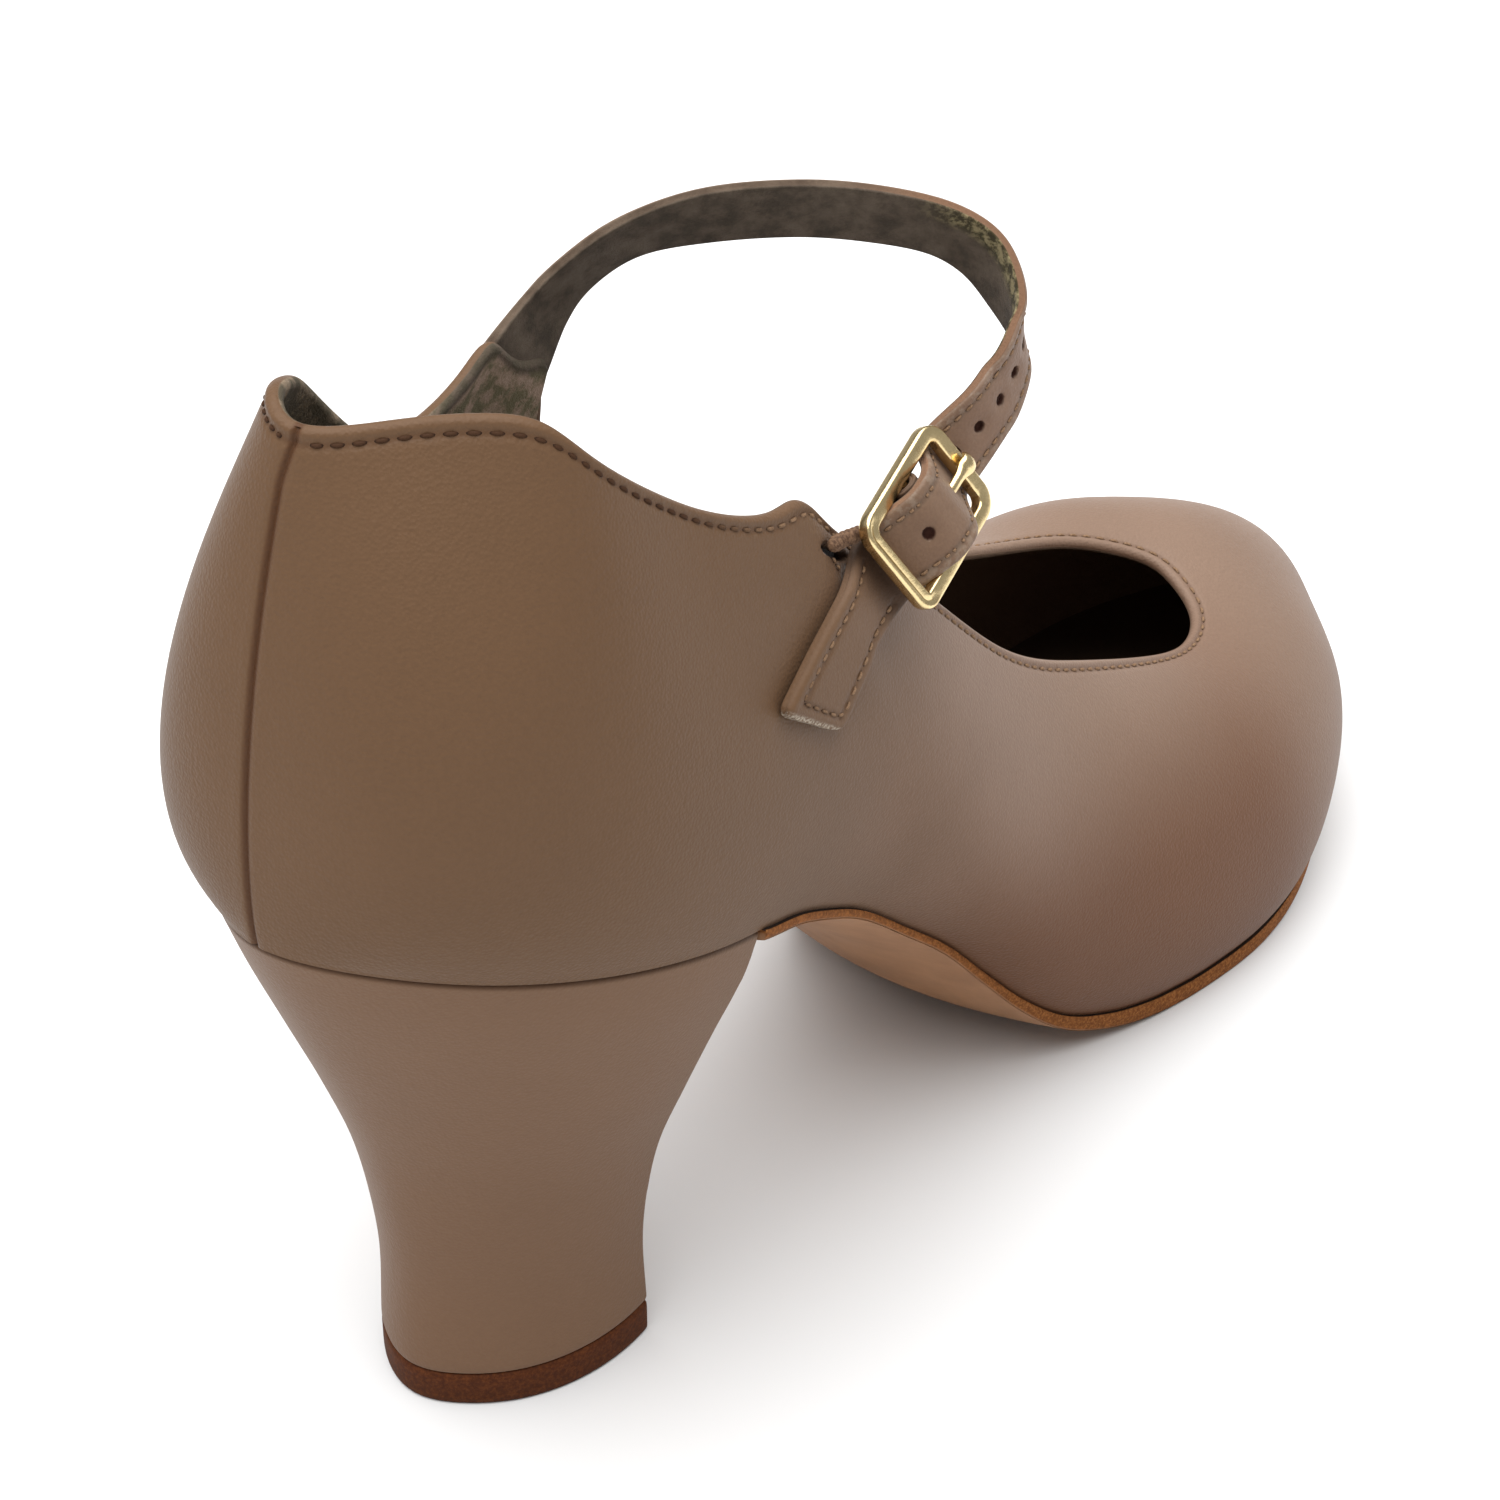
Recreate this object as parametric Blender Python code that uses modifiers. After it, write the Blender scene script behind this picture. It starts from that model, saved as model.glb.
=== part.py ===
"""A right character shoe: a heeled dance shoe with a closed round toe and an instep strap.

+X runs from the heel to the toe, +Y to the inner (medial) side and +Z up.
The shoe is built with x = 0 at the back of the heel seat and then moved, so that the origin is the
middle of the top piece's bottom face.
"""

import math

import bmesh
import bpy
import numpy as np
from mathutils import Matrix, Vector
from mathutils.bvhtree import BVHTree

MM = 0.001

# Driving dimensions of the last and the bottom
LENGTH = 233 * MM  # seat back to toe, measured along the floor
HEEL_HEIGHT = 77 * MM  # floor to the seat at the centre back
SEAT_LENGTH = 51.5 * MM  # seat back to heel breast
SEAT_WIDTH = 53 * MM
SEAT_PITCH = 0.28  # fall of the seat for each unit forwards
BALL_WIDTH = 72 * MM
TOE_SPRING = 13 * MM
FLAT_START = 146 * MM  # the forefoot's flat spot on the floor
FLAT_END = 160 * MM
GAP = 0.3 * MM  # between pieces that touch in the real shoe

# Driving dimensions of the pieces
SOLE = 3 * MM
WAIST_SOLE = 1.4 * MM  # the sole's edge is thinner in the waist
WAIST_CROWN = 5.5 * MM  # the waist's underside is rounded across
SOLE_MARGIN = 0.5 * MM  # the outsole's edge beyond the upper's lower edge
INSOLE = 2 * MM
UPPER_WALL = 1.8 * MM
QUARTER_HEIGHT = 57 * MM  # seat to topline at the centre back
TOPLINE_WIDTH = 46 * MM  # across the collar at the instep
VAMP_HEIGHT = 47 * MM  # floor to topline at the throat
THROAT_END = 181 * MM  # seat back to the throat's front end
FULLNESS = 10 * MM  # how far the vamp's side swells from a straight line
TOP_PIECE = 5 * MM
TOP_PIECE_LENGTH = 27 * MM
TOP_PIECE_WIDTH = 30 * MM
HEEL_TUCK = 17.5 * MM  # seat back to the top piece's back
STRAP_WIDTH = 9.2 * MM
STRAP = 1.4 * MM
CARRIER_WIDTH = 10 * MM
CARRIER = 1.6 * MM
CARRIER_LENGTH = 29 * MM  # from the buckle's centre bar to its lower end
CARRIER_LIFT = 13.5 * MM  # from the bar to where it lies on the quarter
CARRIER_DRIFT = 1.2 * MM  # how far its lower end stands to the rear
BUCKLE_LENGTH = 16.4 * MM  # along the strap, between the wires' centres
BUCKLE_WIDTH = 12.2 * MM  # across it
BUCKLE_WIRE = 1.8 * MM
BUCKLE_CORNER = 2.6 * MM
BAR = 1.5 * MM
EYE = 1.95 * MM  # radius of the carrier's and the prong's eye round the bar
PRONG = 1.2 * MM
STRAP_HOLE = 1.9 * MM

# Mesh density
RIB = 5.4 * MM
ROWS = 11

FOREPART = LENGTH - SEAT_LENGTH
BREAST_TOP = HEEL_HEIGHT - SEAT_PITCH * SEAT_LENGTH

# The underside ahead of the breast: along is a share of breast to flat spot,
# height a share of the sole's height at the breast.
ARCH = (
    # along, height
    (0.00, 1.000),
    (0.10, 0.935),
    (0.20, 0.845),
    (0.30, 0.745),
    (0.40, 0.617),
    (0.50, 0.480),
    (0.58, 0.340),
    (0.65, 0.220),
    (0.73, 0.112),
    (0.82, 0.046),
    (0.91, 0.012),
    (1.00, 0.000),
)

# The seat's outline: along is a share of SEAT_LENGTH, out of half of SEAT_WIDTH.
SEAT = (
    # along, lateral out, medial out
    (0.09, 0.390, 0.470),
    (0.29, 0.745, 0.820),
    (0.62, 0.980, 1.020),
    (1.00, 0.980, 1.000),
)

# The forepart's outline, one row for each pair of ribs across the shoe: along is a share
# of FOREPART, out of half of BALL_WIDTH. The forepart swings to the medial side.
FOREPART_OUTLINE = (
    # lateral along, lateral out, medial along, medial out
    (0.138, 0.555, 0.130, 0.580),
    (0.268, 0.550, 0.259, 0.580),
    (0.401, 0.700, 0.383, 0.740),
    (0.534, 0.840, 0.507, 0.960),
    (0.663, 0.850, 0.625, 1.080),
    (0.774, 0.670, 0.741, 1.110),
    (0.868, 0.394, 0.848, 1.010),
    (0.945, 0.030, 0.938, 0.760),
)
TOE_TIP = (0.996, 0.350)  # along and out, medial

# The topline round the collar and the throat. Station is the number of the rib below it, from the
# centre back over the lateral side to the toe and back over the medial side. Along is a share of
# THROAT_END, out of half of TOPLINE_WIDTH, and height lies between VAMP_HEIGHT, 0, and the top of the
# quarter, 1.
TOPLINE = (
    # station, along, out, height
    (0.00, 0.060, -0.01, 1.000),
    (1.00, 0.088, -0.33, 1.008),
    (2.00, 0.125, -0.60, 1.009),
    (2.50, 0.149, -0.78, 0.993),
    (3.00, 0.176, -0.90, 0.937),
    (3.60, 0.231, -0.92, 0.845),
    (4.20, 0.276, -0.94, 0.785),
    (4.80, 0.334, -0.93, 0.738),
    (5.20, 0.361, -0.91, 0.728),
    (5.60, 0.391, -0.89, 0.667),
    (6.20, 0.479, -0.84, 0.511),
    (7.00, 0.612, -0.73, 0.270),
    (8.00, 0.733, -0.68, 0.121),
    (9.00, 0.838, -0.63, 0.023),
    (10.00, 0.920, -0.54, -0.040),
    (11.00, 0.976, -0.35, -0.052),
    (12.00, 0.998, -0.10, -0.034),
    (13.00, 1.002, 0.11, -0.017),
    (14.00, 0.983, 0.33, 0.006),
    (15.00, 0.954, 0.49, 0.029),
    (16.00, 0.909, 0.59, 0.057),
    (17.00, 0.835, 0.67, 0.103),
    (18.00, 0.746, 0.80, 0.161),
    (19.00, 0.644, 0.93, 0.241),
    (20.00, 0.561, 0.99, 0.333),
    (20.60, 0.497, 1.00, 0.410),
    (21.00, 0.437, 1.00, 0.490),
    (21.30, 0.387, 0.99, 0.590),
    (21.50, 0.390, 0.965, 0.736),
    (21.78, 0.362, 0.945, 0.784),
    (22.05, 0.334, 0.925, 0.832),
    (22.30, 0.309, 0.89, 0.820),
    (22.60, 0.274, 0.84, 0.800),
    (23.00, 0.225, 0.72, 0.806),
    (23.50, 0.179, 0.60, 0.848),
    (24.00, 0.134, 0.55, 0.950),
    (24.50, 0.106, 0.44, 0.995),
    (25.00, 0.079, 0.30, 1.015),
)
TAB_STATIONS = (21.50, 22.05)  # front and rear of the medial tab that the strap runs on from

# Where each rib of the upper swells, in shares of FULLNESS at four heights up the rib.
SWELL_AT = (0.05, 0.25, 0.55, 0.82)
SWELL = (
    # low, belly, shoulder, top
    (0.10, 0.38, 0.42, 0.15),  # centre back
    (0.28, 0.85, 0.75, 0.25),
    (0.36, 1.10, 0.90, 0.25),
    (0.28, 0.80, 0.65, 0.20),
    (0.24, 0.68, 0.60, 0.20),  # lateral breast
    (0.34, 0.90, 0.80, 0.26),
    (0.38, 1.00, 0.90, 0.30),
    (0.40, 1.02, 0.95, 0.36),
    (0.44, 1.05, 1.00, 0.42),  # lateral ball
    (0.50, 1.10, 1.05, 0.50),
    (0.58, 1.18, 1.12, 0.56),
    (0.66, 1.26, 1.20, 0.62),
    (0.70, 1.26, 1.18, 0.84),
    (0.72, 1.28, 1.20, 1.02),  # toe tip
    (0.68, 1.26, 1.34, 1.36),
    (0.64, 1.20, 1.48, 1.56),
    (0.58, 1.12, 1.52, 1.54),
    (0.50, 1.02, 1.32, 1.22),
    (0.44, 0.96, 0.92, 0.42),  # medial ball
    (0.38, 0.90, 0.84, 0.34),
    (0.34, 0.84, 0.76, 0.28),
    (0.28, 0.76, 0.66, 0.22),
    (0.24, 0.68, 0.58, 0.18),  # medial breast
    (0.28, 0.84, 0.66, 0.20),
    (0.56, 1.06, 0.88, 0.28),
    (0.48, 0.96, 0.86, 0.30),
)

# The heel block from its seat, 1, to its top piece, 0: how far each side has still to come in.
HEEL_SHAPE = (
    # height, back, breast, width
    (1.00, 1.00, 1.00, 1.00),
    (0.90, 0.85, 0.81, 0.91),
    (0.75, 0.60, 0.49, 0.67),
    (0.60, 0.35, 0.24, 0.42),
    (0.45, 0.14, 0.08, 0.17),
    (0.30, 0.02, 0.01, 0.03),
    (0.15, -0.03, -0.01, -0.03),
    (0.00, 0.00, 0.00, 0.00),
)
HEEL_HOLLOW = 2 * MM  # the breast's hollow at the top piece
HEEL_SWAY = 1 * MM  # how far the top piece stands to the medial side

# The strap's centre line from the medial tab to the buckle, in shares as the topline's, and the
# way to its rear edge.
STRAP_PATH = (
    # along, out, height, and the edge's direction
    (0.3685, 0.9435, 0.7770, -0.81, 0.00, 0.58),
    (0.3878, 0.9217, 0.8345, -0.82, -0.08, 0.57),
    (0.4077, 0.8391, 0.8805, -0.75, -0.23, 0.62),
    (0.4365, 0.6739, 0.9241, -0.67, -0.26, 0.69),
    (0.4718, 0.3957, 0.9494, -0.48, -0.23, 0.85),
    (0.5127, 0.0522, 0.9552, -0.38, -0.29, 0.88),
    (0.5442, -0.2435, 0.9460, -0.33, -0.35, 0.88),
    (0.5702, -0.5087, 0.9264, -0.25, -0.51, 0.82),
    (0.5834, -0.6913, 0.8954, -0.21, -0.61, 0.77),
    (0.5823, -0.8217, 0.8644, -0.30, -0.62, 0.73),
    (0.5785, -0.9217, 0.8345, -0.47, -0.60, 0.64),
    (0.5724, -0.9957, 0.8069, -0.72, -0.47, 0.52),
    (0.5641, -1.0435, 0.7943, -0.87, -0.22, 0.43),
    (0.5514, -1.0435, 0.7575, -0.86, 0.03, 0.52),
    (0.5315, -1.0522, 0.7310, -0.76, 0.16, 0.62),
)
STRAP_HOLES = (0.775, 0.815, 0.855, 0.895)  # along the strap

# The buckle's place: its centre in shares as the topline's, the way along the strap towards the
# carrier and the way to the rear side wire.
BUCKLE_AT = (0.4519, -1.1217, 0.6460)
BUCKLE_ALONG = (-0.908, -0.142, -0.393)
BUCKLE_ACROSS = (-0.415, 0.417, 0.808)


def steady(table, at):
    """Reads a table of (place, value) rows with a smooth curve that never overshoots."""
    places, values = np.array(table, float).T
    step = np.diff(places)
    slope = np.diff(values) / step
    bend = (slope[:-1] * step[1:] + slope[1:] * step[:-1]) / (step[:-1] + step[1:])
    most = np.minimum(np.minimum(abs(slope[:-1]), abs(slope[1:])), abs(bend) / 2)
    inner = (np.sign(slope[:-1]) + np.sign(slope[1:])) * most
    lean = np.concatenate([slope[:1], inner, slope[-1:]])
    at = np.clip(np.asarray(at, float), places[0], places[-1])
    k = np.clip(np.searchsorted(places, at, side="right") - 1, 0, len(step) - 1)
    t = (at - places[k]) / step[k]
    rise = t * t * (3 - 2 * t)
    ends = lean[k] * t * (1 - t) ** 2 - lean[k + 1] * t * t * (1 - t)
    return values[k] + (values[k + 1] - values[k]) * rise + ends * step[k]


def ring(places, rows, period, at):
    """A closed cubic spline through rows of values, read at the given places."""
    rows = np.asarray(rows, float)
    count = len(places)
    step = np.diff(np.append(places, places[0] + period))
    slope = (np.roll(rows, -1, axis=0) - rows) / step[:, None]
    system = np.zeros((count, count))
    aim = np.zeros_like(rows)
    for k in range(count):
        system[k, k - 1] = step[k]
        system[k, k] = 2 * (step[k - 1] + step[k])
        system[k, (k + 1) % count] = step[k - 1]
        aim[k] = 3 * (step[k] * slope[k - 1] + step[k - 1] * slope[k])
    lean = np.linalg.solve(system, aim)
    at = (np.asarray(at, float) - places[0]) % period + places[0]
    k = np.searchsorted(places, at, side="right") - 1
    after = (k + 1) % count
    t = ((at - np.asarray(places)[k]) / step[k])[:, None]
    rise = t * t * (3 - 2 * t)
    ends = lean[k] * t * (1 - t) ** 2 - lean[after] * t * t * (1 - t)
    return rows[k] + (rows[after] - rows[k]) * rise + ends * step[k][:, None]


def open_curve(points, count):
    """A smooth curve through points, with evenly spaced samples."""
    points = np.asarray(points, float)
    lean = np.gradient(points, axis=0)
    fine = []
    for k in range(len(points) - 1):
        t = np.linspace(0, 1, 24, endpoint=k == len(points) - 2)[:, None]
        rise = t * t * (3 - 2 * t)
        ends = lean[k] * t * (1 - t) ** 2 - lean[k + 1] * t * t * (1 - t)
        fine.append(points[k] + (points[k + 1] - points[k]) * rise + ends)
    fine = np.concatenate(fine)
    run = np.concatenate([[0], np.cumsum(np.linalg.norm(np.diff(fine[:, :3], axis=0), axis=1))])
    at = np.linspace(0, run[-1], count)
    return np.stack([np.interp(at, run, fine[:, k]) for k in range(fine.shape[1])], axis=1)


def underside(x):
    """Height of the outsole's underside ahead of the breast, at its edges."""
    x = np.asarray(x, float)
    along = (x - SEAT_LENGTH) / (FLAT_START - SEAT_LENGTH)
    climb = steady(ARCH, along) * (BREAST_TOP - WAIST_SOLE)
    beyond = np.clip((x - FLAT_END) / (LENGTH - FLAT_END), 0, None)
    return climb + TOE_SPRING * beyond**1.5


def ease(x, start, end):
    t = np.clip((np.asarray(x, float) - start) / (end - start), 0, 1)
    return t * t * (3 - 2 * t)


def bed(x):
    """Height of the seat and of the outsole's upper face, which the upper and insole stand on."""
    x = np.asarray(x, float)
    sole = WAIST_SOLE + (SOLE - WAIST_SOLE) * ease(x, SEAT_LENGTH + 0.2 * FOREPART, FLAT_START)
    return np.where(x < SEAT_LENGTH, HEEL_HEIGHT - SEAT_PITCH * x, underside(x) + sole)


def feather_rows():
    """The upper's lower edge in plan, one (x, y) row for each station."""
    half = SEAT_WIDTH / 2
    lateral = [(along * SEAT_LENGTH, -out * half) for along, out, _ in SEAT]
    medial = [(along * SEAT_LENGTH, out * half) for along, _, out in SEAT]
    half = BALL_WIDTH / 2
    for lateral_along, lateral_out, medial_along, medial_out in FOREPART_OUTLINE:
        lateral.append((SEAT_LENGTH + lateral_along * FOREPART, -lateral_out * half))
        medial.append((SEAT_LENGTH + medial_along * FOREPART, medial_out * half))
    tip = (SEAT_LENGTH + TOE_TIP[0] * FOREPART, TOE_TIP[1] * half)
    return np.array([(0, 0)] + lateral + [tip] + medial[::-1])


FEATHER = feather_rows()
STATIONS = len(FEATHER)
STEPS = np.linalg.norm(np.roll(FEATHER, -1, axis=0) - FEATHER, axis=1)
STATION_AT = np.concatenate([[0], np.cumsum(STEPS)[:-1]])
GIRTH = STEPS.sum()


def feather(at):
    """Points of the upper's lower edge at distances round the shoe."""
    return ring(STATION_AT, FEATHER, GIRTH, at)


def inset(points, distance):
    """A closed outline moved inwards, for one that runs counterclockwise from above."""
    ahead = np.roll(points, -1, axis=0) - np.roll(points, 1, axis=0)
    ahead /= np.linalg.norm(ahead, axis=1)[:, None]
    return points + distance * np.stack([-ahead[:, 1], ahead[:, 0]], axis=1)


def place(stations):
    """Distances round the shoe of the given stations."""
    return np.interp(stations, np.arange(STATIONS + 1), np.append(STATION_AT, GIRTH))


def by_collar(shares):
    """Points from shares of the throat's length, the collar's half width and the quarter's height."""
    shares = np.asarray(shares, float)
    top = HEEL_HEIGHT + QUARTER_HEIGHT
    across = shares[..., 1] * TOPLINE_WIDTH / 2
    high = VAMP_HEIGHT + shares[..., 2] * (top - VAMP_HEIGHT)
    return np.stack([shares[..., 0] * THROAT_END, across, high], axis=-1)


def topline(at):
    """Points of the topline above the same places round the shoe."""
    rows = np.array(TOPLINE)
    return ring(place(rows[:, 0]), by_collar(rows[:, 1:]), GIRTH, at)


def rib_places():
    """Where the ribs stand: one at each row of the topline, the others evenly between."""
    ends = np.append(place([row[0] for row in TOPLINE]), GIRTH)
    ribs = []
    for start, end in zip(ends, ends[1:]):
        count = max(1, round((end - start) / RIB))
        ribs.extend(start + (end - start) * k / count for k in range(count))
    return np.array(ribs)


def upper_grid(at, rows):
    """The upper's outer face: ribs round the shoe, each from the lower edge to the topline."""
    plan = feather(at)
    low = np.column_stack([plan, bed(plan[:, 0]) + GAP])
    high = topline(at)
    chord = high - low
    ahead = feather(at + RIB / 2) - feather(at - RIB / 2)
    ahead = np.column_stack([ahead, np.zeros(len(at))])
    out = np.cross(ahead, chord)
    out /= np.linalg.norm(out, axis=1)[:, None]
    swell = ring(STATION_AT, SWELL, GIRTH, at) * FULLNESS
    control = [low]
    for k, share in enumerate(SWELL_AT):
        control.append(low + share * chord + swell[:, k : k + 1] * out)
    control = np.stack(control + [high])
    return bezier(control, np.linspace(0, 1, rows))


def bezier(control, at):
    """Points of the curves over the first axis of control, as [curve, place]."""
    degree = len(control) - 1
    total = 0
    for k in range(degree + 1):
        weight = math.comb(degree, k) * at**k * (1 - at) ** (degree - k)
        total = total + control[k][:, None, :] * weight[None, :, None]
    return total


def collection(name):
    made = bpy.data.collections.new(name)
    bpy.context.scene.collection.children.link(made)
    return made


def material(name, colour, roughness, metallic=0.0):
    made = bpy.data.materials.new(name)
    made.use_nodes = True
    shader = made.node_tree.nodes["Principled BSDF"]
    shader.inputs["Base Color"].default_value = (*colour, 1)
    shader.inputs["Roughness"].default_value = roughness
    shader.inputs["Metallic"].default_value = metallic
    made.diffuse_color = (*colour, 1)
    return made


def keep(name, mesh, finish, where):
    """A smooth-shaded object for one sub-part."""
    mesh.materials.append(finish)
    mesh.shade_smooth()
    mesh.set_sharp_from_angle(angle=math.radians(40))
    obj = bpy.data.objects.new(name, mesh)
    where.objects.link(obj)
    return obj


def loft(name, sections, closed_ends=True):
    """A mesh through closed sections of equal point counts, outward for counterclockwise ones."""
    sections = np.asarray(sections, float)
    layers, count = sections.shape[:2]
    bm = bmesh.new()
    verts = [[bm.verts.new(p) for p in layer] for layer in sections]
    for low, high in zip(verts, verts[1:]):
        for k in range(count):
            after = (k + 1) % count
            bm.faces.new((low[k], low[after], high[after], high[k]))
    if closed_ends:
        bm.faces.new(verts[0][::-1])
        bm.faces.new(verts[-1])
    bmesh.ops.recalc_face_normals(bm, faces=bm.faces)
    mesh = bpy.data.meshes.new(name)
    bm.to_mesh(mesh)
    bm.free()
    return mesh


def make_upper(where, finish):
    """Quarters, counter and vamp as one lasted wall, open at the collar and underneath."""
    grid = upper_grid(rib_places(), ROWS)
    mesh = loft("upper", grid.transpose(1, 0, 2), closed_ends=False)
    obj = keep("upper", mesh, finish, where)
    wall = obj.modifiers.new("wall", "SOLIDIFY")
    wall.thickness = UPPER_WALL
    wall.offset = -1
    wall.use_even_offset = True
    return obj


def bottom_edges(distance, start=None):
    """Rows along the shoe with the outline's lateral and medial sides, moved inwards.

    Every sole takes its rows from the same places, so their faces run parallel.
    """
    outline = inset(feather(np.linspace(0, GIRTH, 480, endpoint=False)), distance)
    outline = np.roll(outline, -outline[:, 0].argmin(), axis=0)
    tip = outline[:, 0].argmax()
    lateral = outline[: tip + 1]
    medial = np.vstack([outline[tip:], outline[:1]])[::-1]
    steps = np.array([0.35, 1, 2.2, 4, 6.5]) * MM
    first = outline[0, 0] + steps if start is None else np.array([start])
    last = outline[tip, 0] - steps[::-1]
    common = np.arange(0, LENGTH, 3 * MM)
    inner = common[(common > first[-1] + MM) & (common < last[0] - MM)]
    return np.concatenate([first, inner, last]), lateral, medial


def slab(name, x, lateral, medial, low, high, across=7):
    """A sole-like slab on rows across the shoe; low and high take x and the share across."""
    left = np.interp(x, lateral[:, 0], lateral[:, 1])
    right = np.interp(x, medial[:, 0], medial[:, 1])
    share = np.linspace(0, 1, across)
    bm = bmesh.new()
    layers = []
    for height in (low, high):
        rows = []
        for k, along in enumerate(x):
            y = left[k] + (right[k] - left[k]) * share
            z = np.broadcast_to(height(along, share), share.shape)
            rows.append([bm.verts.new((along, v, h)) for v, h in zip(y, z)])
        layers.append(rows)
    for rows in layers:
        for a, b in zip(rows, rows[1:]):
            for k in range(across - 1):
                bm.faces.new((a[k], b[k], b[k + 1], a[k + 1]))
    rims = []
    for rows in layers:
        rims.append(
            [row[0] for row in rows]
            + rows[-1][1:]
            + [row[-1] for row in rows[-2::-1]]
            + rows[0][-2:0:-1]
        )
    for k in range(len(rims[0])):
        after = (k + 1) % len(rims[0])
        bm.faces.new((rims[0][k], rims[0][after], rims[1][after], rims[1][k]))
    bmesh.ops.recalc_face_normals(bm, faces=bm.faces)
    mesh = bpy.data.meshes.new(name)
    bm.to_mesh(mesh)
    bm.free()
    return mesh


def make_outsole(where, finish):
    """The leather sole from the heel breast to the toe, rounded across in the waist."""
    x, lateral, medial = bottom_edges(-SOLE_MARGIN, SEAT_LENGTH + GAP)

    def low(along, share):
        crown = WAIST_CROWN * (1 - ease(along, SEAT_LENGTH + 0.3 * FOREPART, FLAT_START))
        return underside(along) - crown * (1 - (2 * share - 1) ** 2)

    mesh = slab("outsole", x, lateral, medial, low, lambda along, share: bed(along))
    keep("outsole", mesh, finish, where)


def make_insole(where, finish):
    """The insole inside the upper's wall, on the heel seat and the outsole."""
    x, lateral, medial = bottom_edges(UPPER_WALL + 3 * GAP)
    mesh = slab(
        "insole",
        x,
        lateral,
        medial,
        lambda along, share: bed(along) + GAP,
        lambda along, share: bed(along) + GAP + INSOLE,
        across=3,
    )
    keep("insole", mesh, finish, where)


def heel_outline(share):
    """One closed section of the heel in plan, counterclockwise from the lateral breast corner.

    Returns the points and, for each, the x of the seat point above it.
    """
    at = np.linspace(-place(4), place(4), 27)[::-1]
    seat = feather(at)
    seat[:, 0] = np.minimum(seat[:, 0], SEAT_LENGTH)
    u = seat[:, 0] / SEAT_LENGTH
    v = seat[:, 1] / (SEAT_WIDTH / 2)
    back, breast, width = (
        steady([(row[0], row[k]) for row in HEEL_SHAPE[::-1]], share) for k in (1, 2, 3)
    )
    front = HEEL_TUCK + TOP_PIECE_LENGTH
    x_back = HEEL_TUCK * (1 - back)
    x_breast = front + (SEAT_LENGTH - front) * breast
    half = TOP_PIECE_WIDTH / 2 + (SEAT_WIDTH - TOP_PIECE_WIDTH) / 2 * width
    sway = HEEL_SWAY * (1 - width)
    side = np.column_stack([x_back + u * (x_breast - x_back), v * half + sway])
    hollow = HEEL_HOLLOW * (1 - share) ** 0.5
    edge = np.linspace(-1, 1, 9)[1:-1]
    across = side[-1, 1] + (side[0, 1] - side[-1, 1]) * (edge + 1) / 2
    face = np.column_stack([x_breast - hollow * (1 - edge**2), across])
    points = np.vstack([side, face])
    over = np.append(seat[:, 0], np.full(len(face), SEAT_LENGTH))
    return points, over


def make_heel(where, cover, sole):
    """The covered heel block under the seat, and the leather top piece below it."""
    sections = []
    for share in np.linspace(0, 1, 16):
        points, over = heel_outline(share)
        top = HEEL_HEIGHT - SEAT_PITCH * over
        z = TOP_PIECE + share * (top - TOP_PIECE)
        sections.append(np.column_stack([points, z]))
    keep("heel", loft("heel", sections), cover, where)
    points, over = heel_outline(0.0)
    flat = np.zeros(len(points))
    piece = [
        np.column_stack([points, flat]),
        np.column_stack([points, flat + TOP_PIECE - GAP]),
    ]
    keep("top_piece", loft("top_piece", piece), sole, where)


def band(name, centres, edges, width, thickness):
    """A flat strip swept along centres, with edges the unit vectors to its rear edge."""
    ahead = np.gradient(centres, axis=0)
    ahead /= np.linalg.norm(ahead, axis=1)[:, None]
    edges = edges - (edges * ahead).sum(1)[:, None] * ahead
    edges /= np.linalg.norm(edges, axis=1)[:, None]
    out = np.cross(edges, ahead)
    sections = []
    for centre, edge, normal in zip(centres, edges, out):
        corners = ((1, 1), (-1, 1), (-1, -1), (1, -1))
        sections.append([centre + p * width / 2 * edge + q * thickness / 2 * normal for p, q in corners])
    return loft(name, sections), out


def buckle_axes():
    along = np.array(Vector(BUCKLE_ALONG).normalized())
    across = np.array(BUCKLE_ACROSS)
    across = across - (across @ along) * along
    across /= np.linalg.norm(across)
    return along, across, np.cross(across, along)


def from_buckle(points):
    """Points given along, across and out of the buckle, in the shoe's frame."""
    axes = np.stack(buckle_axes())
    return by_collar(BUCKLE_AT) + np.asarray(points, float) @ axes


def rod(name, start, end, radius, sides=20):
    """A solid cylinder between two points."""
    start, end = Vector(start), Vector(end)
    bm = bmesh.new()
    bmesh.ops.create_cone(
        bm, cap_ends=True, segments=sides, radius1=radius, radius2=radius, depth=(end - start).length
    )
    turn = (end - start).to_track_quat("Z", "Y").to_matrix().to_4x4()
    turn.translation = (start + end) / 2
    bm.transform(turn)
    mesh = bpy.data.meshes.new(name)
    bm.to_mesh(mesh)
    bm.free()
    return mesh


def cutter(name, mesh, where):
    obj = bpy.data.objects.new(name, mesh)
    where.objects.link(obj)
    obj.hide_render = True
    obj.display_type = "WIRE"
    return obj


def combine(obj, other, operation):
    made = obj.modifiers.new(other.name, "BOOLEAN")
    made.operation = operation
    made.solver = "EXACT"
    made.object = other


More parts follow.
